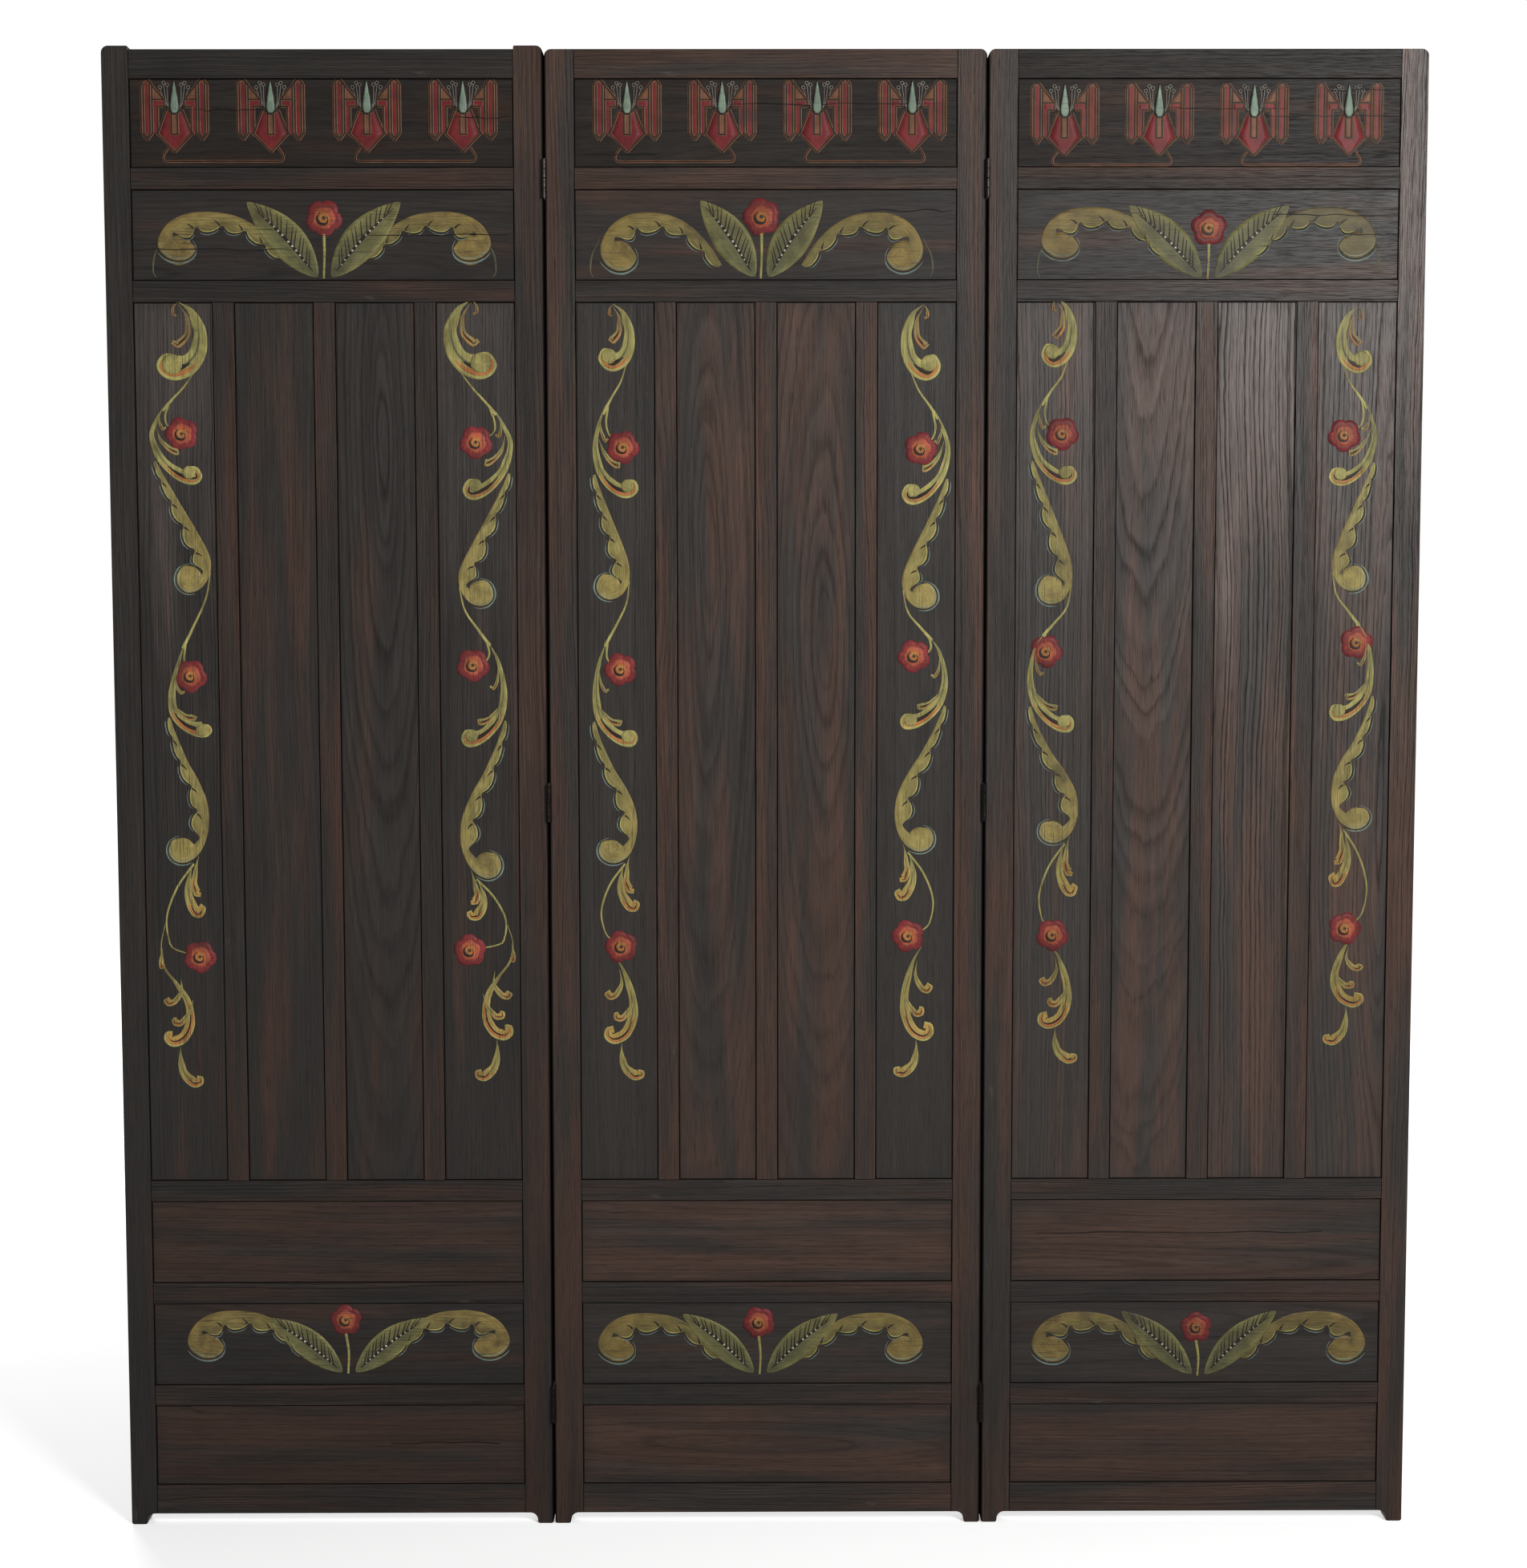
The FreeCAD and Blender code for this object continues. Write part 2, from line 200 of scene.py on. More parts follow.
BUMP = 0.5
WOOD_RELIEF = 0.25 * MM
PAINT_RELIEF = 0.15 * MM
IRON_RELIEF = 0.1 * MM
PAINT_GLOSS = 0.09
IRON_GLOSS = 0.4
LOG_LENGTH = 4000
BAY_SHIFT = 1370
# Levels over which the wood pales, partly from bleaching and partly as painted sheen
BLEACH_AND_SHEEN_LEVELS = (1000.0, 1480.0)
LOW_DARKENING_LEVELS = (0.0, 700.0)
LOW_DARKENING = 0.84
FADED_LEVELS = (420.0, 1150.0)
FADED_CONTRAST = 0.45
RING_TONES = ((0.0, 0.3), (0.08, 0.0), (0.26, 0.5), (0.55, 0.85), (0.82, 1.0), (1.0, 0.3))
RING_MEAN = 0.6

# Noise in the wood, as cells per millimetre along and across the grain, detail and roughness
SWAY = (0.002, 0.004, 1.0)
WOBBLE = (0.012, 0.05, 3.0)
JAG = (0.08, 0.3, 2.0)
FIBRE = (0.01, 0.8, 4.0, 0.65)
STAIN = (0.0026, 0.03, 4.0)
CLOUD = (0.005, 0.05, 6.0, 0.7)

# How a board was cut: heart, taper, crown, pitch and contrast of its rings, how red it is, and how pale it
# turns towards the top, partly from bleaching of the wood and partly as painted sheen of the light
Figure = namedtuple("Figure", "heart taper crown pitch contrast warmth pale", defaults=(0.0,))


def wood_material(name, grain, seed, figures, gloss, face, centre=0.0, bays=None, field=None, ends=None,
                  seam=None, worn=False, tone=1.0, fleck=0.38):
    """Open-grained fumed wood with its front at face. bays gives the first edge and pitch of a row of boards,
    field the opening round a board, ends a frame piece's shoulders and seam its edge at a hinged joint."""
    shader = Shader(bpy.data.materials.new(name))
    x, y, z = shader.place()
    along, across = (z, x) if grain == "upright" else (x, z)
    run = along + random.Random(seed).uniform(0, LOG_LENGTH)
    if bays:
        first_edge, width = bays
        shifted = x - first_edge
        bay = shader.math("FLOOR", shifted / width)
        across = shader.math("MODULO", shifted, width) - width / 2
        figure = Figure(*(shader.pick(bay, values) for values in zip(*figures)))
        run = bay * BAY_SHIFT + run
    else:
        across = across - centre
        figure = figures[0]
    inward = y - face

    def grain_noise(lengthwise, sideways, detail, roughness=0.5, start=seed):
        through = inward * sideways + start
        return shader.noise(run, across, through, (lengthwise, sideways, 1.0), detail, roughness)

    # Rings of the trunk, cut by the board's face
    sway = grain_noise(*SWAY)
    offset = across - figure.heart + sway * 22 - 11
    depth = (along - figure.crown) * figure.taper + inward + sway * 24 - 4
    wobble = grain_noise(*WOBBLE) * 6 - 3
    jag = grain_noise(*JAG) - 0.5
    radius = shader.math("SQRT", offset * offset + depth * depth) + wobble + jag
    seasons = shader.noise(radius, 0.0, seed, (0.09, 1.0, 1.0))
    years = (seasons * 16 + radius) / figure.pitch
    vigour = shader.noise(shader.math("FLOOR", years), 0.0, seed, (0.77, 1.0, 1.0), detail=0.0)
    faded = z.remap(*FADED_LEVELS, FADED_CONTRAST, 1.0) if grain == "upright" else 1.0
    contrast = vigour.remap(0.3, 0.7, 0.35, 1.5) * figure.contrast * faded
    late = (shader.ramp(shader.math("FRACT", years), RING_TONES) - RING_MEAN) * contrast + RING_MEAN

    # Fibres, open pores and the uneven stain
    fibre = grain_noise(*FIBRE)
    vessels = shader.noise(run, across, y, (0.04, 1.5, 0.3), detail=1.0)
    pores = vessels.remap(0.52, 0.66) * (1 - late * 0.75)
    stain = grain_noise(*STAIN)
    red = (stain + figure.warmth * 0.3).remap(0.58, 0.84)
    base = shader.mix(late, shader.mix(red, STAIN_AND_SHADE_BLACK, STAIN_BROWN), shader.mix(red, GRAIN_GREY, GRAIN_RED))
    # Paler grey towards the top, along the late wood: partly wood greyed by bleaching, partly painted sheen
    # of the light on the upper boards
    bleach_and_sheen_level = (stain - 0.5) * 1200 + z
    bleach_and_sheen = bleach_and_sheen_level.remap(*BLEACH_AND_SHEEN_LEVELS) * late.remap(0.1, 0.7, 0.3, 1.0)
    base = shader.mix(bleach_and_sheen * figure.pale, base, PALE_WEAR_AND_SHEEN_GREY)
    cloud = grain_noise(*CLOUD, start=seed + 3)
    shade = fibre.remap(0.25, 0.75, -fleck, fleck) * faded + 1
    shade *= cloud.remap(0.3, 0.7, -0.22, 0.22) * faded + 1
    # Darker towards the bottom
    shade *= z.remap(*LOW_DARKENING_LEVELS, LOW_DARKENING * tone, tone)
    base = shader.mix(pores * 0.8, shader.shaded(base, shade), PORE_AND_SHADE_BLACK)
    if not field:
        scuffs = shader.noise(run, across, y, (0.012, 0.06, 0.06), 6.0, 0.75)
        base = shader.mix(scuffs.remap(0.65, 0.76, 0.0, 0.4), base, PALE_WEAR_AND_SHEEN_GREY)
    if worn:
        rubbed = shader.noise(x, y, z, (0.03, 0.03, 0.03), 4.0)
        base = shader.mix(rubbed.remap(0.46, 0.66, 0.0, 0.6), base, WORN)

    # Matt dark lines at the joints, partly dirt and partly painted shade, painted shade along the frame round
    # a board and at the hinged joints, and dust on top
    grime_and_shade = 0.0
    if field:
        low_side, high_side, low, high = field
        inset = (across if bays else x).within(low_side, high_side)
        edge = shader.math("MINIMUM", inset, z.within(low, high))
        # Painted shade: a board darkens towards the frame round it, as the recess would be shaded
        base = shader.mix(edge.remap(2.0, 18.0, 0.3, 0.0), base, STAIN_AND_SHADE_BLACK)
        # A dark line along the board's edge, partly dirt and partly painted shade
        grime_and_shade = edge.remap(1.0, 2.1, 1.0, 0.0)
    if ends:
        grime_and_shade = along.within(*ends).remap(0.4, 1.3, 1.0, 0.0)
    # Painted shade: a stile darkens to near black towards a hinged joint, where the gap between the leaves
    # lies in shade
    if seam is not None:
        grime_and_shade = shader.math("ABSOLUTE", x - seam).remap(0.8, 2.8, 1.0, 0.0)
    upward = shader.split(shader.read("NewGeometry", "Normal"))[2]
    dust = upward.remap(0.5, 0.9)
    # Near black on the dark lines and the painted shade, lighter with dust on upward faces
    base = shader.mix(dust * 0.25, shader.mix(grime_and_shade, base, PORE_AND_SHADE_BLACK), DUST)
    matt = shader.math("MAXIMUM", grime_and_shade, dust * 0.95)
    roughness = fibre.remap(0.2, 0.8, 0.33, 0.45) + pores * 0.3
    shine = late.remap(0.0, 0.9, 0.25 * gloss, gloss) * (1 - matt)
    return shader.finish(base, roughness, fibre * 0.5 + late * 0.35 - pores, WOOD_RELIEF, shine)


def paint_material(name, grain, wear, tone=1.0):
    """Old oil paint, brushed along its strokes and rubbed through along the wood's grain."""
    shader = Shader(bpy.data.materials.new(name))
    x, y, z = shader.place()
    along, across = (z, x) if grain == "upright" else (x, z)
    tint = shader.read("Attribute", "Color", attribute_name="paint", attribute_type="GEOMETRY")
    u, v, _ = shader.split(shader.read("UVMap", 0, uv_map="brush"))
    bristle = shader.noise(u, v, 0.0, (0.04, 1.3, 1.0), 3.0, 0.6)
    cloud = shader.noise(x, y, z, (0.06, 0.06, 0.06), 3.0)
    shade = bristle.remap(0.25, 0.75, 0.7 * tone, 1.28 * tone) * cloud.remap(0.3, 0.7, 0.8, 1.16)
    lines = shader.noise(along, across, 3.0, (0.025, 0.9, 1.0), 3.0, 0.6)
    patches = shader.noise(x, y, z, (0.022, 0.022, 0.022), 5.0, 0.6)
    rubbed = shader.math("MAXIMUM", lines.remap(0.56 - 0.2 * wear, 0.74 - 0.1 * wear, 0.0, 0.8),
                         patches.remap(0.6 - 0.2 * wear, 0.78 - 0.2 * wear, 0.0, 0.55))
    base = shader.mix(rubbed, shader.shaded(tint, shade), blend(STAIN_BROWN, GRAIN_GREY, 0.3))
    roughness = bristle.remap(0.2, 0.8, 0.36, 0.5)
    return shader.finish(base, roughness, bristle - lines * 0.6, PAINT_RELIEF, PAINT_GLOSS)


def iron_material(name, bare, rust, metallic):
    """Blackened iron, rubbed and rusted in patches."""
    shader = Shader(bpy.data.materials.new(name))
    x, y, z = shader.place()
    rubbed = shader.noise(x, y, z, (0.5, 0.5, 0.25), 4.0)
    grit = shader.noise(x, y, z, (2.2, 2.2, 2.2), 3.0)
    base = shader.mix(rubbed.remap(0.45, 0.68), bare, rust)
    roughness = rubbed.remap(0.3, 0.7, 0.16, 0.42)
    return shader.finish(base, roughness, grit, IRON_RELIEF, IRON_GLOSS, metallic)


# Wood of the frames and boards

UPRIGHT = ("stile_left", "stile_right", "muntins")
RAILS = ("top_rail", "frieze_rail", "crest_rail", "middle_rail", "base_rail_upper", "base_rail_lower",
         "bottom_rail")
BOARDS = {
    "frieze_board": ("frieze_rail", "top_rail"),
    "crest_board": ("crest_rail", "frieze_rail"),
    "base_board_upper": ("base_rail_upper", "middle_rail"),
    "base_board_painted": ("base_rail_lower", "base_rail_upper"),
    "base_board_lower": ("bottom_rail", "base_rail_lower"),
}
PLAIN_BOARDS = ("base_board_upper", "base_board_lower")
ARRIS = 0.7 * MM
ARRIS_ANGLE = 40
BARREL_ARRIS = 0.45 * MM
BARREL_ANGLE = 25
WELD_GAP = 0.01 * MM
HALF_OPENING = 220.0
BAY_PITCH = 116.0
HALF_BAY = 46.0
# A figure's last value pales a board towards the top, partly from bleaching and partly as painted sheen
TALL_FIGURES = {
    "left": (Figure(70, 0.02, 900, 3.6, 0.6, 0.15, 0.5), Figure(-60, 0.03, 700, 3.2, 0.3, 0.5),
             Figure(8, 0.1, 1360, 6.5, 0.4, 0.4), Figure(64, 0.03, 900, 3.6, 0.45, 0.3, 0.4)),
    "middle": (Figure(60, 0.03, 900, 3.4, 0.3, 0.1), Figure(-10, 0.1, 1218, 6.5, 0.3, 0.7),
               Figure(10, 0.13, 1118, 7.5, 0.3, 0.75), Figure(-66, 0.02, 900, 3.4, 0.2, 0.05)),
    "right": (Figure(-62, 0.03, 900, 4.6, 0.6, 0.5, 0.2), Figure(-12, 0.1, 1980, 5.6, 0.36, 0.7, 0.1),
              Figure(-58, 0.02, 800, 5.4, 0.9, 0.8, 0.8), Figure(40, 0.05, 1100, 5.2, 0.6, 0.6, 0.35)),
}
FOOT_RAIL_TONE = 1.25

# Tone of a leaf, shares of it for rails and boards, gloss of its tall boards, wear and tones of its paint
Look = namedtuple("Look", "tone rails frieze crest base gloss wear paint")
LOOKS = {
    "left": Look(0.7, 0.86, 0.9, 0.95, 1.02, 0.14, 0.45, {"upright": 1.2, "level": 1.0}),
    "middle": Look(0.82, 0.88, 0.8, 0.9, 1.09, 0.15, 0.2, {"upright": 1.05, "level": 0.8}),
    "right": Look(0.85, 0.74, 0.62, 0.85, 0.94, 0.18, 0.4, {"upright": 0.88, "level": 0.72}),
}

# Level boards: ranges of heart, taper and crown, pitch of the rings, and contrast with redness
BOARD_CUTS = ((-60, 60), (0.03, 0.09), (-300, 300))
BOARD_RINGS = 6.0
PAINTED_GRAIN = (0.18, 0.3)
PLAIN_GRAIN = (0.24, 0.9)
BOARD_FLECK = 0.2
LEVEL_GLOSS = 0.13
FRIEZE_GLOSS = 0.06

# Pieces of the frame, with those that are duller than the rest and the stile that pales towards the top,
# partly from bleaching and partly as painted sheen
FRAME_GLOSS = 0.13
HEART_OFFSET = (120, 220)
FRAME_TAPER = 0.03
FRAME_RINGS = 3.4
FRAME_CONTRAST = 0.4
PALE_AND_SHEEN = {"right_stile_right": 0.45}
PALE_CONTRAST = 0.9
DULL = {"right_top_rail": 0.06, "right_frieze_rail": 0.08}

# How red the frame's pieces are on the left, middle and right leaf
WARMTH = {"stile_left": (0.1, 0.75, 0.5), "stile_right": (0.75, 0.8, 0.7), "muntins": (0.7, 0.8, 0.55),
          "top_rail": (0.1, 0.9, 0.2), "frieze_rail": (0.55, 0.9, 0.55), "crest_rail": (0.55, 0.2, 0.55)}
PLAIN_WARMTH = (0.55, 0.55, 0.55)

# Which side of a stile meets a hinged joint
SEAMS = {"left_stile_right": 1, "middle_stile_left": 0, "middle_stile_right": 1, "right_stile_left": 0}


def span(node):
    """A node's box in millimetres."""
    low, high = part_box(node)
    return low / MM, high / MM


def between(leaf, below, above):
    """Levels of the opening between two of a leaf's rails."""
    return span(f"{leaf}_{below}")[1].z, span(f"{leaf}_{above}")[0].z


def soften(node, width, angle, slot=-1):
    """Rounds the arrises a little; their faces may take a finish of their own."""
    weld = node.modifiers.new("join_faces", "WELD")
    weld.merge_threshold = WELD_GAP
    bevel = node.modifiers.new("arris", "BEVEL")
    bevel.width = width
    bevel.segments = 2
    bevel.limit_method = "ANGLE"
    bevel.angle_limit = math.radians(angle)
    bevel.material = slot
    bevel.harden_normals = True


def dress(node_name, *materials):
    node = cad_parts[node_name]
    node.data.materials.clear()
    for material in materials:
        node.data.materials.append(material)
    return node


def dress_frame_piece(leaf, piece, seed, opening, tall):
    """A stile, a rail or the muntins; opening and tall are the shoulders of rails and of muntins."""
    node_name, look = f"{leaf}_{piece}", LOOKS[leaf]
    box = span(node_name)
    middle = (box[0] + box[1]) / 2
    chance = random.Random(seed)
    heart = chance.choice((-1, 1)) * chance.uniform(*HEART_OFFSET)
    # Paleness towards the top, partly from bleaching and partly painted sheen
    pale = PALE_AND_SHEEN.get(node_name, 0.0)
    contrast = PALE_CONTRAST if pale else FRAME_CONTRAST
    warmth = WARMTH.get(piece, PLAIN_WARMTH)[LEAVES.index(leaf)]
    figure = Figure(heart, FRAME_TAPER, 0.0, FRAME_RINGS, contrast, warmth, pale)
    finish = dict(seed=seed, figures=(figure,), gloss=DULL.get(node_name, FRAME_GLOSS), face=box[0].y)
    if piece in UPRIGHT:
        finish.update(grain="upright", centre=middle.x, tone=look.tone)
        if piece == "muntins":
            finish.update(ends=tall)
        elif node_name in SEAMS:
            finish.update(seam=box[SEAMS[node_name]].x)
    else:
        foot = FOOT_RAIL_TONE if piece == "bottom_rail" else 1.0
        finish.update(grain="level", centre=middle.z, ends=opening, tone=look.tone * look.rails * foot)
    plain = wood_material(f"wood_{node_name}", **finish)
    worn = wood_material(f"worn_{node_name}", worn=True, **finish)
    soften(dress(node_name, plain, worn), ARRIS, ARRIS_ANGLE, slot=1)


def dress_tall_boards(leaf, seed, centre, tall):
    look, boards = LOOKS[leaf], f"{leaf}_tall_boards"
    dress(boards, wood_material(
        f"wood_{leaf}_tall", "upright", seed, TALL_FIGURES[leaf], look.gloss, span(boards)[0].y,
        bays=(centre - 2 * BAY_PITCH, BAY_PITCH), field=(-HALF_BAY, HALF_BAY, *tall), tone=look.tone))


def dress_level_board(leaf, board, seed, centre, opening):
    node_name, look, chance = f"{leaf}_{board}", LOOKS[leaf], random.Random(seed)
    levels = between(leaf, *BOARDS[board])
    heart, taper, crown = (chance.uniform(*ends) for ends in BOARD_CUTS)
    grain = PLAIN_GRAIN if board in PLAIN_BOARDS else PAINTED_GRAIN
    figure = Figure(heart, taper, centre + crown, BOARD_RINGS, *grain)
    share = {"frieze_board": look.frieze, "crest_board": look.crest}.get(board, look.base)
    gloss = FRIEZE_GLOSS if board == "frieze_board" else LEVEL_GLOSS
    dress(node_name, wood_material(
        f"wood_{node_name}", "level", seed, (figure,), gloss, span(node_name)[0].y, centre=sum(levels) / 2,
        tone=look.tone * share, field=(*opening, *levels), fleck=BOARD_FLECK))


leaf_centre = {}
for number, leaf in enumerate(LEAVES):
    low, high = span(f"{leaf}_tall_boards")
    centre = leaf_centre[leaf] = (low.x + high.x) / 2
    opening = (centre - HALF_OPENING, centre + HALF_OPENING)
    tall = between(leaf, "middle_rail", "crest_rail")
    for place, piece in enumerate(UPRIGHT + RAILS):
        dress_frame_piece(leaf, piece, 17 * number + place + 1, opening, tall)
    dress_tall_boards(leaf, 61 + number, centre, tall)
    for place, board in enumerate(BOARDS):
        dress_level_board(leaf, board, 101 + 7 * number + place, centre, opening)

IRON = iron_material("hinge_iron_old", colour(22, 21, 20), colour(32, 26, 23), 1.0)
STEEL = iron_material("hinge_pin_steel", colour(96, 92, 88), colour(58, 46, 40), 0.95)
for joint in JOINTS:
    for piece in ("outer_leaves", "inner_leaves", "upper_links", "lower_links"):
        soften(dress(f"{joint}_hinge_{piece}", IRON), BARREL_ARRIS, BARREL_ANGLE)
    for piece in ("outer_pins", "inner_pins"):
        dress(f"{joint}_hinge_{piece}", STEEL)


# Brush strokes

def show(name, data):
    """A new object in the scene."""
    thing = bpy.data.objects.new(name, data)
    bpy.context.scene.collection.objects.link(thing)
    return thing


def new_piece(name, points, faces, material):
    """A mesh object with its points in metres."""
    mesh = bpy.data.meshes.new(name)
    mesh.from_pydata(points, [], faces)
    mesh.materials.append(material)
    return show(name, mesh)


def grid(first, rows, columns):
    """Quads between the points of a grid, whose first point has the given number."""
    corners = [first + r * columns + c for r in range(rows - 1) for c in range(columns - 1)]
    return [(a, a + 1, a + columns + 1, a + columns) for a in corners]


def profile(*stops, ease=lambda t: t * t * (3 - 2 * t)):
    """A value that runs smoothly through (place, value) stops and keeps still beyond them."""
    stops = sorted(stops)

    def reading(place):
        for (s0, v0), (s1, v1) in zip(stops, stops[1:]):
            if place <= s1:
                return v0 + (v1 - v0) * ease(max(0.0, (place - s0) / (s1 - s0)))
        return stops[-1][1]
    return reading


def straight(*stops):
    """A value that runs through its stops in straight lines."""
    return profile(*stops, ease=lambda t: t)


def steady(value):
    """A plain value as a function, and a function as it is."""
    return value if callable(value) else lambda *_: value


def even_points(points, count):
    """The same line again with evenly spaced points."""
    reach = [0.0]
    for a, b in zip(points, points[1:]):
        reach.append(reach[-1] + (b - a).length)
    spaced, at = [], 0
    for step in range(count):
        target = reach[-1] * step / (count - 1)
        while at < len(points) - 2 and reach[at + 1] < target:
            at += 1
        gap = reach[at + 1] - reach[at]
        spaced.append(points[at].lerp(points[at + 1], (target - reach[at]) / gap if gap else 0.0))
    return spaced


def smooth_points(points, count):
    """Evenly spaced points on a smooth curve through a few given ones."""
    ends = [2 * points[0] - points[1], *points, 2 * points[-1] - points[-2]]
    fine, steps = [], 12
    for a, b, c, d in zip(ends, ends[1:], ends[2:], ends[3:]):
        for step in range(steps):
            t = step / steps
            fine.append((2 * b + (c - a) * t + (2 * a - 5 * b + 4 * c - d) * t * t
                         + (3 * b - a - 3 * c + d) * t ** 3) / 2)
    fine.append(points[-1])
    return even_points(fine, count)


LAYER = 0.09
PAINT_LIFT = 0.05
PAINT_CROWN = 0.06
DAB_CROWN = 0.12
BAND_CROWN = 0.02
SKIRT = -0.04
SMALLEST_BULB = 6.0
VOLUTE = 0.66
FOLD = (0.66, 0.5, 0.4)
CRESCENT = 0.62
GILT_CRESCENT = 0.52
GILDING = 0.9
SCALLOPS = 5
LOBES_END = 0.62
SCALLOP_FLOOR = 0.42
SCALLOP_SPACING = 0.85
RIMS = ((2.5, 0.65, TEAL), (0.9, 0.9, SHADOW), (-1.0, 0.7, LIME))
FOLD_WIDTH = profile((0, 1.1), (0.5, 0.8), (1, 0.2))

# Bands round a bulb, as start past the lobes, end, two depths, tint and layer
BULB_BANDS = ((0.12, 1.0, -0.24, -0.1, TEAL, 0), (0.1, 0.99, -0.1, 0.0, SHADOW, 1),
              (0.08, 0.98, 0.08, 0.18, blend(TEAL, LIME, 0.3), 1))
SWIRL = ((2.2, 0.34), (3.1, 0.36), (4.0, 0.36), (5.0, 0.34), (5.9, 0.24), (6.7, 0.14))
VEINS = [0.14 + 0.06 * k for k in range(13)]
VEIN_WIDTH = profile((0, 0.75), (0.5, 0.6), (1, 0.25))
RIB_DOTS = [(0.12 + 0.072 * k, 0.5 + 0.9 * math.sin(math.pi * (0.1 + 0.08 * k))) for k in range(11)]


class Line:
    """A brush line on a board, with the direction to its left and its turn to the left. A stroke may lie on
    its inner side alone, which is 1 for the left and -1 for the right."""

    def __init__(self, points, count=44, corners=False, inner=0):
        self.inner = inner
        given = [Vector(point) for point in points]
        self.points = even_points(given, count) if corners else smooth_points(given, count)
        last = count - 1
        headings = [(self.points[min(i + 1, last)] - self.points[max(i - 1, 0)]).normalized()
                    for i in range(count)]
        self.shares = [i / last for i in range(count)]
        self.sides = [Vector((-heading.y, heading.x)) for heading in headings]
        self.length = sum((b - a).length for a, b in zip(self.points, self.points[1:]))
        step = max(self.length / last, 1e-6)
        self.turns = [headings[max(i - 1, 0)].cross(headings[min(i + 1, last)]) / (2 * step)
                      for i in range(count)]

    def depths(self, depth):
        """Depths of a stroke on the inner side, kept within the curl it runs round."""
        held = []
        for share, turn in zip(self.shares, self.turns):
            bend = turn * self.inner
            held.append(min(depth(share), 0.97 / bend) if bend > 1e-4 else depth(share))
        last = len(held) - 1
        return [sum(held[max(0, min(last, i + k))] for k in (-1, 0, 1)) / 3 for i in range(last + 1)]

    def inside(self, i, depth):
        """The place at a depth on the inner side of a point."""
        return self.points[i] + self.sides[i] * self.inner * depth


def tapered(count, power):
    """Widths that swell from nothing and back over a count of points."""
    return [math.sin(math.pi * (k + 0.5) / count) ** power for k in range(count)]


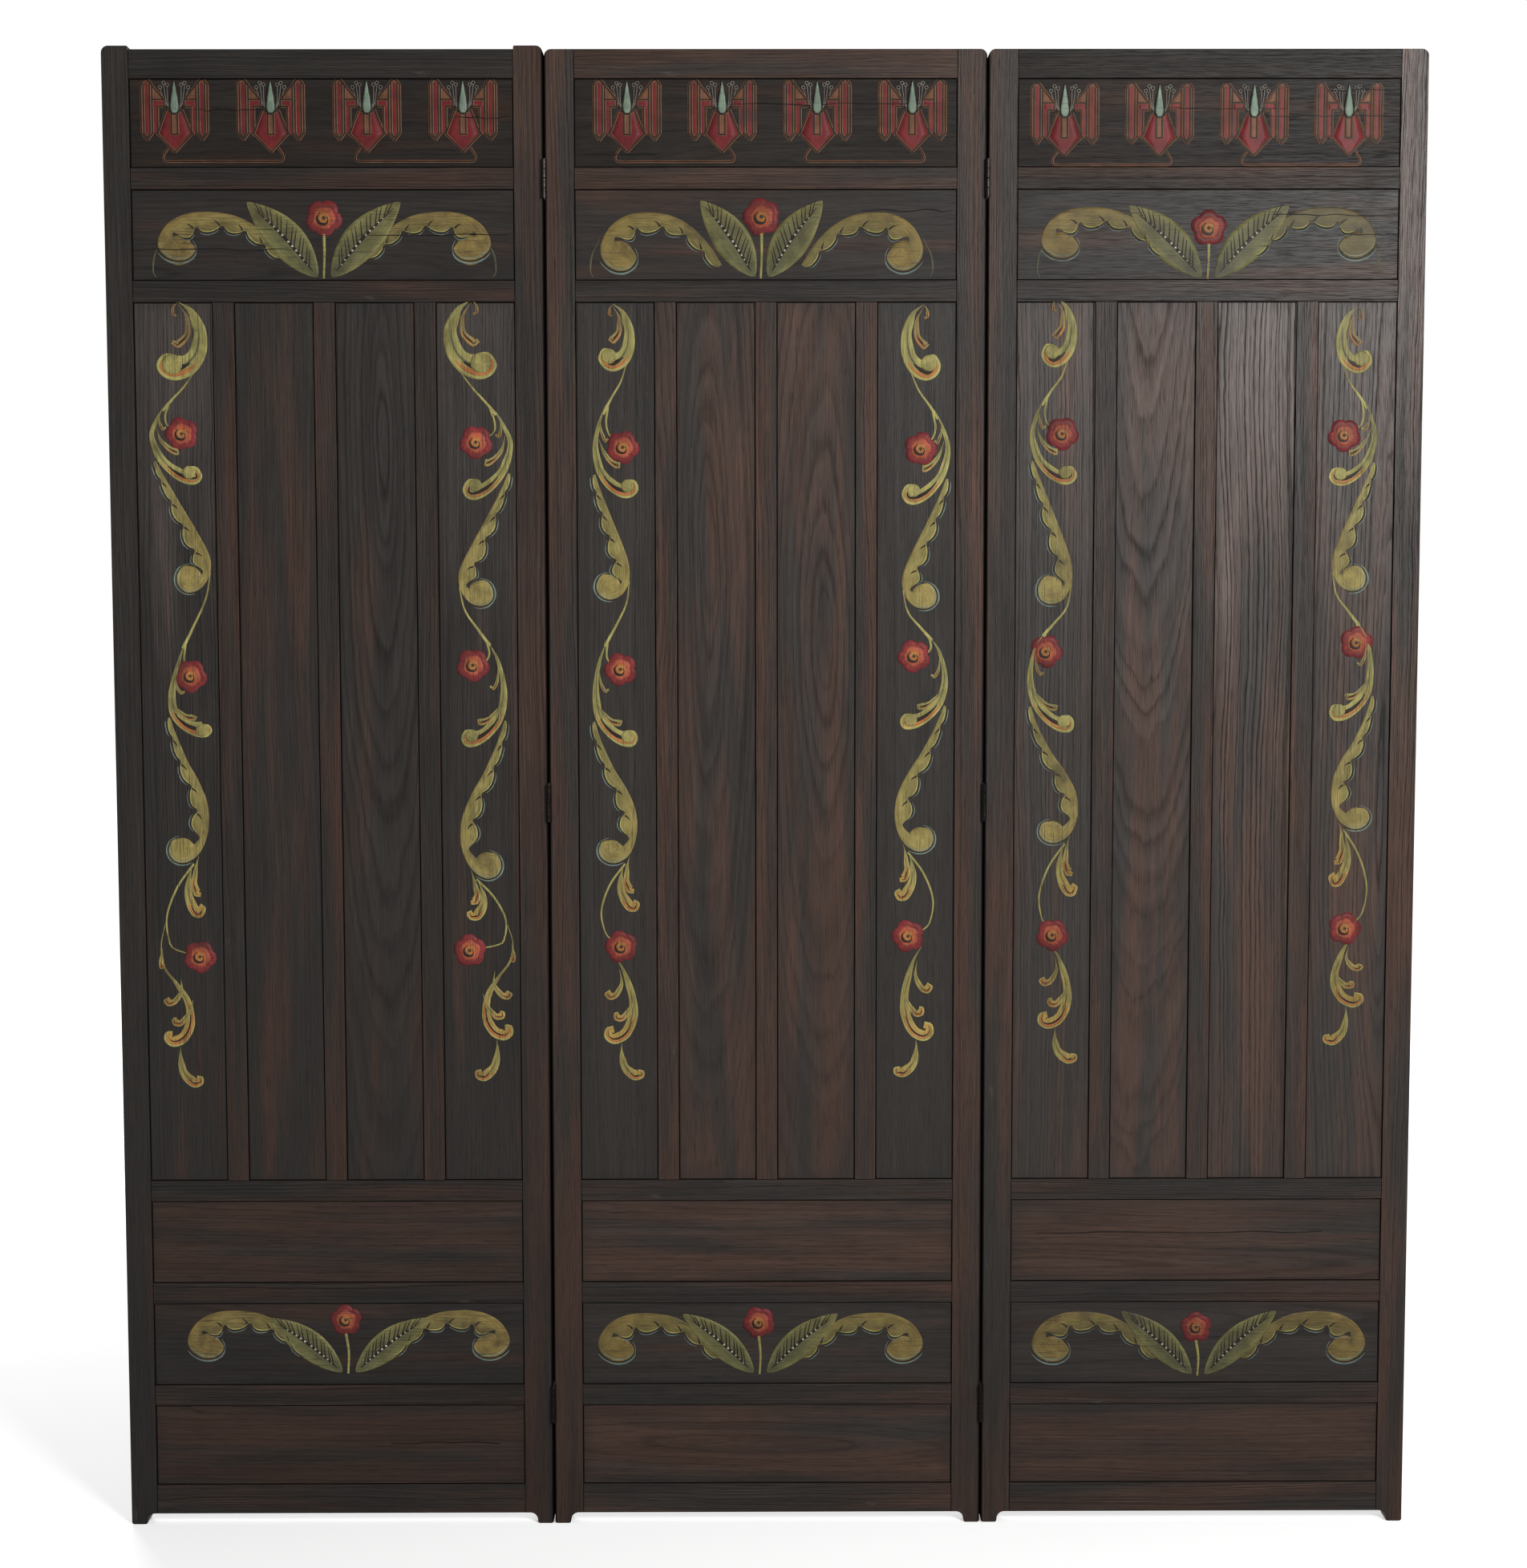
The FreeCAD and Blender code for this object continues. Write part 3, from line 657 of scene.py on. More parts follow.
class Painting:
    """The strokes on one board, as thin crowned skins on its face."""

    def __init__(self, name, body, face, material, slot):
        self.name, self.body, self.face, self.material, self.slot = name, body, face, material, slot
        self.points, self.quads, self.tints, self.brush = [], [], [], []
        self.chance = random.Random(name)

    def skin(self, rows):
        """Adds rows of ((x, lift, z), tint, brush place) as quads that face the viewer."""
        quads, spread = grid(len(self.points), len(rows), len(rows[0])), 0.0
        for row in rows:
            for (x, lift, z), tint, brush in row:
                self.points.append((x * MM, (self.face - lift) * MM, z * MM))
                self.tints.append(tint)
                self.brush.append(brush)
        for quad in quads:
            p, s, q, t = (Vector(self.points[i]) for i in quad)
            spread += (q - p).cross(t - s).y
        self.quads += quads if spread < 0 else [quad[::-1] for quad in quads]

    def ribbon(self, line, left, right, tint, layer, columns=6, crown=PAINT_CROWN):
        """A stroke with a width to each side of its line; tint takes the shares along and across it."""
        tint, rows = steady(tint), []
        for spot, side, share, to_left, to_right in zip(line.points, line.sides, line.shares, left, right):
            row = []
            for c in range(columns + 1):
                t = c / columns
                offset = -to_right + t * (to_left + to_right)
                at = spot + side * offset
                lift = PAINT_LIFT + LAYER * layer + crown * 4 * t * (1 - t)
                row.append(((at.x, lift, at.y), tint(share, t), (share * line.length, offset)))
            skirts = [((x, SKIRT, z), *rest) for (x, _, z), *rest in (row[0], row[-1])]
            rows.append([skirts[0], *row, skirts[1]])
        self.skin(rows)

    def blade(self, line, depths, tint, layer):
        """A stroke on the inner side of its line; tint takes the shares along it and inwards."""
        none = [0.0] * len(depths)
        if line.inner > 0:
            self.ribbon(line, depths, none, tint, layer, columns=10)
        else:
            self.ribbon(line, none, depths, lambda share, t: tint(share, 1 - t), layer, columns=10)

    def stroke(self, points, width, tint, layer, corners=False, count=30):
        """A plain stroke of the given half width."""
        line = Line(points, count, corners)
        half = [steady(width)(share) for share in line.shares]
        self.ribbon(line, half, half, tint, layer, columns=4)

    def disc(self, x, z, radius, tint, layer, rings=4, segments=60, crown=DAB_CROWN):
        """A round or lobed dab; radius takes the angle, tint the share outwards and the angle."""
        radius, tint, rows = steady(radius), steady(tint), []
        for r in range(rings + 2):
            share = min(r / rings, 1.0)
            lift = SKIRT if r > rings else PAINT_LIFT + LAYER * layer + crown * (1 - share * share)
            row = []
            for k in range(segments + 1):
                angle = 2 * math.pi * k / segments
                reach = radius(angle) * share
                px, pz = reach * math.cos(angle), reach * math.sin(angle)
                row.append(((x + px, lift, z + pz), tint(share, angle), (reach * 3, angle * 6)))
            rows.append(row)
        self.skin(rows)

    def band(self, line, depths, start, end, near, far, tint, layer):
        """A tapered band that follows a stroke between two depths of it."""
        picked = [i for i, share in enumerate(line.shares) if start <= share <= end]
        middle = [line.inside(i, depths[i] * (near + far) / 2) for i in picked]
        if len(middle) < 4:
            return
        last = len(middle) - 1
        middle = [sum((middle[max(0, min(last, k + step))] for step in range(-2, 3)), Vector((0, 0))) / 5
                  for k in range(last + 1)]
        swells = tapered(len(picked), 0.6)
        wide = [abs(depths[i] * (far - near) / 2) * swell for i, swell in zip(picked, swells)]
        course = Line(middle, len(middle), corners=True)
        self.ribbon(course, wide, wide, tint, layer, columns=4, crown=BAND_CROWN)

    def bulb(self, line, depths, tint, layer, share=1.0):
        """Fills the round end that a stroke curls about."""
        size = depths[-1] * share
        if size < SMALLEST_BULB:
            return
        middle = line.inside(-1, size)
        self.disc(middle.x, middle.y, size, tint(1.0, 0.5), layer, crown=PAINT_CROWN, segments=40)

    def comma(self, points, inner, depth, layer, rust=0.0, gilt=False):
        """A comma-shaped leaf with a fat curl: orange band, dark crescent and pale or golden body."""
        line = Line(points, count=48, inner=inner)
        depths = line.depths(depth)
        tone = self.chance.uniform(0.0, 0.5)

        def tint(share, q):
            body = blend(blend(OLIVE, LIME, tone), LIME, 0.8 * abs(2 * q - 1))
            body = blend(blend(OLIVE_DARK, OLIVE, 0.5), body, min(1.0, 0.35 + share))
            return blend(body, GOLD, GILDING * share * min(1.0, 2 * q)) if gilt else blend(body, RUST, rust)

        crescent = GILT_CRESCENT if gilt else CRESCENT
        self.blade(line, depths, tint, layer)
        self.band(line, depths, 0.46, 0.99, 0.14, 0.36, blend(ORANGE, OCHRE, tone), layer + 1)
        self.band(line, depths, 0.5, 0.99, 0.36, crescent, SHADOW, layer + 1)
        self.bulb(line, depths, tint, layer + 2, VOLUTE)
        self.band(line, depths, 0.2, 0.6, 0.5, 0.62, OLIVE_DARK, layer + 1)

    def scroll(self, points, inner, depth, warm, dim=0.0, layer=1):
        """A scroll with one smooth edge, scallops on the other and a round bulb at its end."""
        line = Line(points, count=120, inner=inner)
        tone = self.chance.uniform(0.1, 0.5)

        def lobe_phase(share):
            return SCALLOPS * (share / LOBES_END) ** SCALLOP_SPACING

        def scalloped(share):
            part = 2 * (lobe_phase(share) % 1) - 1
            lobe = min(1.0, (share - LOBES_END) / 0.1)
            if share < LOBES_END:
                lobe = math.sqrt(max(0.0, 1 - part * part))
            return depth(share) * (SCALLOP_FLOOR + (1 - SCALLOP_FLOOR) * lobe)

        def tint(share, q):
            body = blend(blend(OLIVE_DARK, OLIVE, 0.55 + 0.45 * share), LIME, tone * (1 - abs(2 * q - 0.8)))
            gilding = warm * min(1.0, (0.3 + 0.9 * share) * (0.5 + 0.8 * (1 - q)))
            return blend(blend(body, OCHRE, gilding), SHADOW, dim)

        depths = line.depths(scalloped)
        self.blade(line, depths, tint, layer)
        for lobe in range(SCALLOPS):
            inside = [i for i, share in enumerate(line.shares)
                      if share < LOBES_END and lobe + 0.08 < lobe_phase(share) < lobe + 0.95]
            if len(inside) < 4:
                continue
            for gap, half, shade in RIMS:
                rim = [line.inside(i, depths[i] + gap) for i in inside]
                wide = [half * swell for swell in tapered(len(rim), 0.7)]
                self.ribbon(Line(rim, len(rim), corners=True), wide, wide, shade, layer + 1, columns=2)
            step = max(1, len(inside) // 6)
            fold = [line.inside(i, depth(line.shares[i]) * reach) for i, reach in zip(inside[::step], FOLD)]
            if lobe and len(fold) == len(FOLD):
                self.stroke(fold, FOLD_WIDTH, SHADOW, layer + 1, count=12)
        reach = line.depths(depth)
        self.bulb(line, reach, tint, layer)
        for start, end, near, far, shade, over in BULB_BANDS:
            self.band(line, reach, LOBES_END + start, end, near, far, shade, layer + over)

    def rosette(self, x, z, size):
        """A five-petalled flower: crimson petals, orange petals within, ochre eye and dark swirl."""
        spin = self.chance.uniform(0, 1.2)

        def lobed(share, depth):
            def reach(angle):
                return size * share * (1 - depth + depth * abs(math.cos(2.5 * (angle - spin))) ** 0.7)
            return reach

        def outer(share, angle):
            dark = 0.5 + 0.5 * math.sin(5 * (angle - spin) + 1.0)
            return blend(blend(PETAL, CRIMSON, min(1.0, share * 1.2)), CRIMSON_DARK, 0.45 * dark * share)

        self.disc(x, z, lobed(1.0, 0.2), outer, 3)
        self.disc(x, z, lobed(0.64, 0.16), lambda s, a: blend(ORANGE, PETAL, s), 5)
        self.disc(x, z, size * 0.32, lambda s, a: blend(OCHRE, ORANGE, s), 7, segments=30)
        swirl = [(x + size * reach * math.cos(angle), z + size * reach * math.sin(angle))
                 for angle, reach in SWIRL]
        self.stroke(swirl, profile((0, 0.3), (0.4, 0.08 * size), (1, 0.4)), SHADOW, 9)
        self.disc(x, z, size * 0.1, blend(SHADOW, RUST, 0.4), 9, rings=2, segments=16)

    def leaf(self, base, tip, half, upper):
        """A painted leaf with a dotted dark midrib and dark veins on its upper half."""
        start, end = Vector(base), Vector(tip)
        bow = Vector((-(end - start).y, (end - start).x)) * upper * 0.03
        line = Line([start, start.lerp(end, 0.5) + bow, end], inner=upper)
        wide = [half * math.sin(math.pi * min(1.0, share ** 0.92)) ** 0.8 + 0.25 for share in line.shares]

        def tint(share, t):
            edge = abs(2 * t - 1)
            return blend(blend(OLIVE_DARK, OLIVE, 0.05 + 0.5 * share), LIME, 0.4 * edge ** 3)

        self.ribbon(line, wide, wide, tint, 2, columns=10)
        last = len(line.points) - 1
        for share in VEINS:
            i = int(share * last)
            out = line.inside(i, 1.2)
            far = line.points[min(last, i + 5)] + line.sides[i] * upper * wide[min(last, i + 3)] * 0.82
            self.stroke([out, out.lerp(far, 0.5), far], VEIN_WIDTH, SHADOW, 4, count=8)
        rib = Line(line.points[3:-4], count=30, corners=True)
        thick = [0.3 + 1.5 * math.sin(math.pi * share ** 0.8) for share in rib.shares]
        self.ribbon(rib, thick, thick, SHADOW, 4, columns=4)
        for share, size in RIB_DOTS:
            at = rib.points[int(share * (len(rib.points) - 1))]
            self.disc(at.x, at.y, size, CHALK, 6, rings=2, segments=14)

    def finish(self):
        piece = new_piece(self.name, self.points, self.quads, self.material)
        mesh = piece.data
        tints = mesh.attributes.new("paint", "FLOAT_COLOR", "POINT")
        tints.data.foreach_set("color", [part for tint in self.tints for part in tint])
        brush = [part for loop in mesh.loops for part in self.brush[loop.vertex_index]]
        mesh.uv_layers.new(name="brush").data.foreach_set("uv", brush)
        mesh.polygons.foreach_set("use_smooth", [True] * len(mesh.polygons))
        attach(piece, self.body)


# Climbing scrolls on the outer tall boards

VINE_TOP = 1450
VINE_LEVELS = (1440, 1366, 1278, 1219, 1105, 1021, 930, 792, 695, 582, 532)
SWAY_LEVELS = (1410, 1269, 1137, 986, 837, 626)
FULL = profile((0, 0.6), (0.2, 5.0), (0.45, 9.5), (0.65, 14.0), (0.8, 19.0), (1, 11.0))
CREST = profile((0, 0.5), (0.2, 9.5), (0.42, 14.0), (0.6, 19.0), (0.75, 21.0), (0.88, 16.0), (1, 12.5))
SLIM = profile((0, 0.5), (0.3, 8.5), (0.55, 12.0), (0.78, 13.0), (1, 8.0))
LONG = profile((0, 0.8), (0.3, 2.6), (0.5, 8.0), (0.7, 12.0), (0.85, 13.5), (1, 8.5))
PADDLE = profile((0, 0.5), (0.5, 6.5), (0.85, 9.5), (1, 5.0))
SPRIG = profile((0, 0.4), (0.5, 5.4), (0.8, 7.6), (1, 4.6))
TWIG = profile((0, 0.4), (0.6, 3.6), (1, 2.4))
ROLL = profile((0, 5.0), (0.12, 9.0), (0.3, 15.0), (0.46, 20.0), (0.56, 21.0), (0.66, 15.0), (1, 14.0))
STEM = profile((0, 0.7), (0.5, 1.2), (1, 1.8))
STALK = profile((0, 1.3), (1, 0.8))

COMMAS = (
    (CREST, -1, 2, 0.0, ((-2, 1442), (11, 1433), (20, 1414), (21, 1391), (13, 1373), (-1, 1365), (-13, 1369),
                         (-19, 1380), (-14, 1391), (-6, 1391))),
    (PADDLE, -1, 4, 0.5, ((-2, 1439), (6, 1426), (7, 1409), (-1, 1397), (-8, 1401))),
    (TWIG, 1, 4, 0.6, ((-2, 1442), (-7, 1437), (-8, 1430), (-4, 1427))),
    (FULL, 1, 3, 0.0, ((-12, 1326), (-22, 1303), (-27, 1276), (-23, 1250), (-10, 1230), (6, 1220), (19, 1221),
                       (26, 1230), (22, 1240), (13, 1241))),
    (SPRIG, 1, 5, 0.2, ((-20, 1288), (-14, 1268), (-4, 1256), (4, 1254), (5, 1261))),
    (TWIG, 1, 5, 0.2, ((-18, 1312), (-18, 1296), (-13, 1284), (-8, 1287))),
    (FULL, 1, 3, 0.0, ((-12, 1054), (-24, 1025), (-29, 990), (-25, 962), (-12, 943), (4, 932), (18, 931),
                       (24, 940), (20, 949), (12, 950))),
    (SPRIG, 1, 5, 0.2, ((-25, 985), (-18, 968), (-7, 957), (3, 955), (6, 961))),
    (TWIG, 1, 5, 0.2, ((-21, 1020), (-20, 1003), (-14, 994), (-9, 997))),
    (PADDLE, 1, 3, 0.2, ((13, 802), (8, 786), (6, 772), (10, 760), (18, 758))),
    (SLIM, 1, 2, 0.1, ((6, 790), (-1, 770), (1, 752), (10, 738), (21, 737), (25, 746), (19, 751))),
    (PADDLE, -1, 4, 0.2, ((1, 668), (5, 650), (-1, 636), (-11, 632), (-17, 639), (-11, 644))),
    (PADDLE, -1, 4, 0.3, ((18, 640), (15, 620), (5, 607), (-5, 608), (-6, 616), (-1, 618))),
    (SLIM, 1, 2, 0.2, ((3, 580), (0, 560), (5, 545), (17, 536), (28, 539), (29, 547), (22, 549))),
)
TRAILING = (
    (LONG, -1, 2, 0.0, ((-21, 730), (-24, 706), (-18, 682), (-2, 662), (13, 643), (20, 622), (19, 602),
                        (9, 585), (-6, 580), (-16, 588), (-14, 599), (-6, 600))),
    (SPRIG, 1, 4, 0.1, ((-23, 704), (-26, 690), (-24, 680), (-18, 681))),
)
SPRINGING = (
    (SLIM, -1, 2, 0.0, ((-5, 684), (8, 666), (19, 640), (22, 612), (12, 588), (-5, 579), (-17, 586),
                        (-16, 598), (-7, 601))),
)
ROLLS = (
    ((-24, 1247), (-17, 1226), (-5, 1196), (8, 1164), (15, 1140), (14, 1121), (5, 1107), (-9, 1102),
     (-21, 1108), (-24, 1120), (-17, 1131), (-8, 1131)),
    ((-26, 960), (-18, 935), (-4, 905), (11, 880), (21, 855), (22, 828), (14, 805), (-1, 794), (-16, 796),
     (-23, 807), (-19, 819), (-9, 821)),
)
STEMS = (
    ((12, 1373), (6, 1353), (-4, 1336), (-15, 1316)),
    ((15, 1124), (11, 1097), (-2, 1070), (-14, 1048)),
)
STALKS = (
    ((-9, 1325), (-11, 1305), (-6, 1290)),
    ((-11, 1052), (-12, 1036), (-6, 1026)),
    ((8, 793), (-10, 768), (-20, 738), (-16, 713), (-8, 703)),
)
CREST_LEVEL = 1360
GILT_LEVEL = 820
ROSETTE_SIZE = 19.5
ROSETTE_PLACES = (2, 5, 8)
ROLL_WARMTH = 0.35
Vine = namedtuple("Vine", "levels sways rosettes crest foot", defaults=(SPRINGING,))
VINES = {
    ("left", -1): Vine((1443, 1356, 1294, 1235, 1114, 1014, 942, 793, 684, 579, 524), (9, -4, 23, 14, 8, -11),
                       (7, 12, 17), 1.42, TRAILING),
    ("left", 1): Vine((1445, 1357, 1284, 1217, 1097, 1026, 930, 774, 691, 586, 531), (8, -16, 8, -4, 2, -20),
                      (1, 7, 14), 1.42, TRAILING),
    ("middle", -1): Vine(VINE_LEVELS, (0, 0, 0, 0, 0, 0), (8, 4, 3), 1.05),
    ("middle", 1): Vine((1439, 1355, 1276, 1211, 1093, 1036, 950, 805, 707, 585, 535),
                        (-5, -13, 1, -9, 2, -5), (-5, 2, 8), 1.12),
    ("right", -1): Vine((1446, 1370, 1293, 1234, 1098, 1041, 946, 815, 708, 599, 551), (3, -3, 6, -2, 8, 2),
                        (8, -9, 1), 1.0),
    ("right", 1): Vine((1436, 1363, 1291, 1232, 1113, 1051, 959, 831, 715, 624, 572), (2, 2, 10, 3, -1, -3),
                       (13, -5, 3), 1.05),
}
OUTER_BOARD = 174.0


def paint_vine(painting, centre, hand, vine):
    """Draws the climbing scroll; hand is -1 on a leaf's first board and 1, mirrored, on its last."""
    top = (VINE_TOP, VINE_TOP - VINE_LEVELS[0] + vine.levels[0])
    level = straight(top, *zip(VINE_LEVELS, vine.levels))
    sway = straight(*zip(SWAY_LEVELS, vine.sways))

    def trace(points):
        return [(centre - hand * (x * (vine.crest if z > CREST_LEVEL else 1.0) + sway(z)), level(z))
                for x, z in points]

    flowers = [(centre - hand * x, vine.levels[place]) for x, place in zip(vine.rosettes, ROSETTE_PLACES)]
    for points in STEMS:
        painting.stroke(trace(points), STEM, lambda s, t: blend(OLIVE, LIME, s), 1)
    for points, flower in zip(STALKS, flowers):
        painting.stroke([*trace(points), flower], STALK, blend(OLIVE, LIME, 0.4), 1)
    for points in ROLLS:
        painting.scroll(trace(points), hand, ROLL, ROLL_WARMTH)
    for depth, inner, layer, rust, points in COMMAS + vine.foot:
        wide = vine.crest if depth is CREST else 1.0
        painting.comma(trace(points), -inner * hand, lambda share: depth(share) * wide, layer, rust,
                       gilt=points[0][1] < GILT_LEVEL)
    for x, z in flowers:
        painting.rosette(x, z, ROSETTE_SIZE)


# Crest and base motif: rosette, two leaves and two scalloped arms

ARM = ((46, 10), (60, 30), (79, 49), (103, 62), (132, 66), (156, 63), (176, 51), (187, 31), (185, 15),
       (171, 4), (154, 5), (145, 17), (151, 28))
ARM_DEPTH = profile((0, 11.0), (0.15, 16.0), (0.35, 22.0), (0.52, 27.0), (0.64, 24.0), (0.74, 19.0),
                    (1, 17.0))
ARM_WARMTH = 0.65
HOOK = ((186, 44), (195, 26), (197, 8), (194, 1))
HOOK_WIDTH = profile((0, 0.3), (0.6, 1.1), (1, 0.5))

# Middle, foot, flower, leaf tip, the arms' width, height and lift, and how far the last arm is rubbed away
Motif = namedtuple("Motif", "x z flower size leaf arm rubbed", defaults=(0.0,))
MOTIFS = {
    ("left", "crest_board"): Motif(1, 1472, (0, 68), 21.5, (88, 86), (1.02, 0.88, 17)),
    ("middle", "crest_board"): Motif(-5, 1472, (0, 69), 22.0, (70, 87), (0.99, 1.06, 4)),
    ("right", "crest_board"): Motif(1, 1471, (0, 57), 21.0, (92, 82), (1.03, 0.92, 20), 0.3),
    ("left", "base_board_painted"): Motif(11, 184, (-3, 64), 19.0, (94, 66), (1.02, 0.92, 15)),
    ("middle", "base_board_painted"): Motif(-8, 182, (-2, 62), 19.5, (92, 72), (1.03, 0.93, 12)),
    ("right", "base_board_painted"): Motif(5, 179, (-3, 58), 19.0, (92, 77), (1.06, 0.97, 13)),
}
LEAF_HALF = {"crest_board": 20.5, "base_board_painted": 17.0}
ARM_DIM = {"crest_board": 0.2, "base_board_painted": 0.26}


def paint_motif(painting, centre, board, motif):
    middle, z = centre + motif.x, motif.z
    wide, high, lift = motif.arm
    for hand in (-1, 1):
        rubbed = motif.rubbed if hand > 0 else 0.0
        arm = [(middle + hand * px * wide, z + lift + pz * high) for px, pz in ARM]
        painting.scroll(arm, -hand, ARM_DEPTH, ARM_WARMTH - rubbed, ARM_DIM[board] + rubbed)
        tip = (middle + hand * motif.leaf[0], z + motif.leaf[1])
        painting.leaf((middle + hand * 8, z + 1), tip, LEAF_HALF[board], hand)
        if board == "crest_board":
            hook = [(middle + hand * px, z + pz) for px, pz in HOOK]
            painting.stroke(hook, HOOK_WIDTH, OLIVE_DARK, 0)
    flower_x, flower_z = middle + motif.flower[0], z + motif.flower[1]
    rise = motif.flower[1] - motif.size * 0.85
    painting.stroke([(middle - 1, z - 1), (middle, z + rise / 2), (flower_x, z + rise)],
                    profile((0, 1.2), (1, 1.6)), blend(OLIVE, LIME, 0.6), 3)
    painting.rosette(flower_x, flower_z, motif.size)


# Frieze: a border of angular lotus flowers with ridged outlines

RIDGE = 1.55
# Half width of the dark line painted as the shade in the knife cut
CUT_SHADE_WIDTH = 0.8
OUTLINE = colour(98, 66, 46)
LACQUER = colour(86, 28, 30)
TAN = colour(88, 58, 40)
PALE_GREEN = colour(98, 112, 98)
BAR = 31.6
CUP = straight((0, 0.3), (0.43, 19.6), (1, 8.7))
CUP_OUTLINE = ((-2, 43), (-8.7, 48), (-19.6, 20.6), (0, 0), (19.6, 20.6), (8.7, 48), (2, 43), (-2, 43))
TONGUE_OUTLINE = ((-3.4, 43), (-3.4, 20), (3.4, 20), (3.4, 43))
PISTIL_SHADE = profile((0, 3.6), (0.1, 5.8), (0.22, 6.2), (0.45, 5.0), (1, 1.0))
PISTIL = profile((0, 2.2), (0.1, 4.2), (0.22, 4.6), (0.45, 3.5), (0.75, 1.9), (1, 0.4))
STAMENS = ((8, 74), (12, 76), (16, 71))
STAMEN_TINT = blend(GRAIN_GREY, CHALK, 0.22)
BAR_SIDES = straight((0, 0.3), (0.13, 6.4), (0.93, 6.4), (1, 3.0))
BAR_CORE = straight((0, 0.3), (0.08, 2.9), (0.95, 2.9), (1, 1.2))
WING = straight((0, 13.5), (1, 0.4))
POST = straight((0, 0.3), (0.15, 2.5), (1, 2.5))
POST_OUTLINE = ((11.5, 59.3), (11.5, 51.5), (19.2, 51.5), (19.2, 24), (22, 19))
FRIEZES = {"left": (-168, 110, 1614.5), "middle": (-159, 109, 1614), "right": (-166, 108.7, 1610)}
FLOWERS = 4
RUN_END = ((8, -10.5), (13, -9), (13.5, -4), (8, 5))


def paint_lotus(painting, x, z):
    """A flower seen from the side: cup, pistil and stamens between two red bars with wings."""
    def ridge(*points):
        """A tan outline with a dark line along it, painted shade of the knife cut."""
        spots = [(x + px, z + pz) for px, pz in points]
        for pair in zip(spots, spots[1:]):
            painting.stroke(pair, RIDGE, OUTLINE, 5, corners=True, count=8)
            painting.stroke(pair, CUT_SHADE_WIDTH, SHADOW, 8, corners=True, count=8)

    def cell(px, low, high, half, tint, layer, hands=(-1, 1)):
        """A filled cell to one or both sides of an upright line."""
        line = Line([(x + px, z + low), (x + px, z + high)], 24, corners=True)
        left, right = ([steady(half if hand in hands else 0.0)(share) for share in line.shares]
                       for hand in (-1, 1))
        painting.ribbon(line, left, right, tint, layer, columns=4)

    cell(0, 0, 48, CUP, LACQUER, 2)
    ridge(*CUP_OUTLINE)
    cell(0, 20.6, 43, 3.1, TAN, 4)
    ridge(*TONGUE_OUTLINE)
    cell(0, 43, 81, PISTIL_SHADE, SHADOW, 9)
    cell(0, 44.5, 79, PISTIL, PALE_GREEN, 11)
    for hand in (-1, 1):
        for reach, rise in STAMENS:
            loop = [(x + hand * reach + 1.9 * math.cos(k * 0.7), z + rise + 2 + 1.9 * math.sin(k * 0.7))
                    for k in range(10)]
            stalk = [(x + hand * px, z + pz) for px, pz in ((5, 48), (4 + reach * 0.45, 58), (reach, rise))]
            for line, count in ((stalk, 12), (loop, 16)):
                painting.stroke(line, 1.0, SHADOW, 2, count=count)
                painting.stroke(line, 0.4, STAMEN_TINT, 4, count=count)
        bar = hand * BAR
        cell(bar, 13, 81, BAR_SIDES, blend(TAN, SHADOW, 0.2), 2)
        cell(bar, 16.5, 78, BAR_CORE, LACQUER, 4)
        for side in (-1, 1):
            ridge((bar, 13), (bar + side * 6.4, 21.5), (bar + side * 6.4, 76), (bar + side * 2.6, 81))
            ridge((bar, 16), (bar + side * 3.5, 21.5), (bar + side * 3.5, 77))
        cell(hand * 27.5, 60, 77, WING, TAN, 3, hands=(-hand,))
        ridge((bar - hand * 1.5, 81), (hand * 11.8, 59.3), (hand * 25, 59.3))
        cell(hand * 18, 51.5, 59, 6.7, LACQUER, 3)
        cell(hand * 22, 19, 52, POST, LACQUER, 3)
        ridge(*((hand * px, pz) for px, pz in POST_OUTLINE))


def paint_frieze(painting, centre, first, pitch, z):
    places = [centre + first + pitch * place for place in range(FLOWERS)]
    for x in places:
        paint_lotus(painting, x, z)
    for a, b in zip(places[::2], places[1::2]):
        run = [(a - px, z + pz) for px, pz in reversed(RUN_END)] + [(a + 20, z - 10.5), (b - 20, z - 10.5)]
        run += [(b + px, z + pz) for px, pz in RUN_END]
        painting.stroke(run, 1.5, OUTLINE, 2, count=70)
        # The dark line along the run is painted shade of the cut
        painting.stroke(run, 0.75, SHADOW, 5, count=70)


# Cracks along the grain, as (from x, to x, level), and open joints, as (x, from level, to level)
CRACKS = {
    ("left", "crest_board"): ((-215, -30, 1504), (40, 215, 1521)),
    ("left", "frieze_board"): ((150, 216, 1653), (-150, -60, 1662)),
    ("left", "base_board_lower"): ((60, 190, 98),),
    ("middle", "frieze_board"): ((-60, 200, 1668), (-210, -120, 1612)),
    ("middle", "crest_board"): ((110, 216, 1548),),
    ("right", "frieze_board"): ((-60, 90, 1663), (60, 218, 1655), (130, 218, 1684)),
    ("right", "crest_board"): ((60, 218, 1543), (150, 218, 1520)),
    ("right", "base_board_upper"): ((-190, 150, 352),),
}
OPEN_JOINTS = {"right": ((-129.5, 1170, 1443), (103.2, 1320, 1443)),
               "middle": ((-13.0, 1428, 1443), (116.5, 1436, 1443))}
CRACK_WIDTH = profile((0, 0.1), (0.3, 0.5), (0.6, 0.3), (0.8, 0.45), (1, 0.1))
CRACK_STEPS = 9
CRACK_STRAY = 1.2
OPEN_WIDTH = profile((0, 0.2), (0.6, 1.3), (1, 1.7))
PICTURES = {
    "frieze_board": "lotus_frieze", "crest_board": "crest_scroll", "base_board_painted": "base_scroll",
    "base_board_upper": "upper_split", "base_board_lower": "lower_split",
}


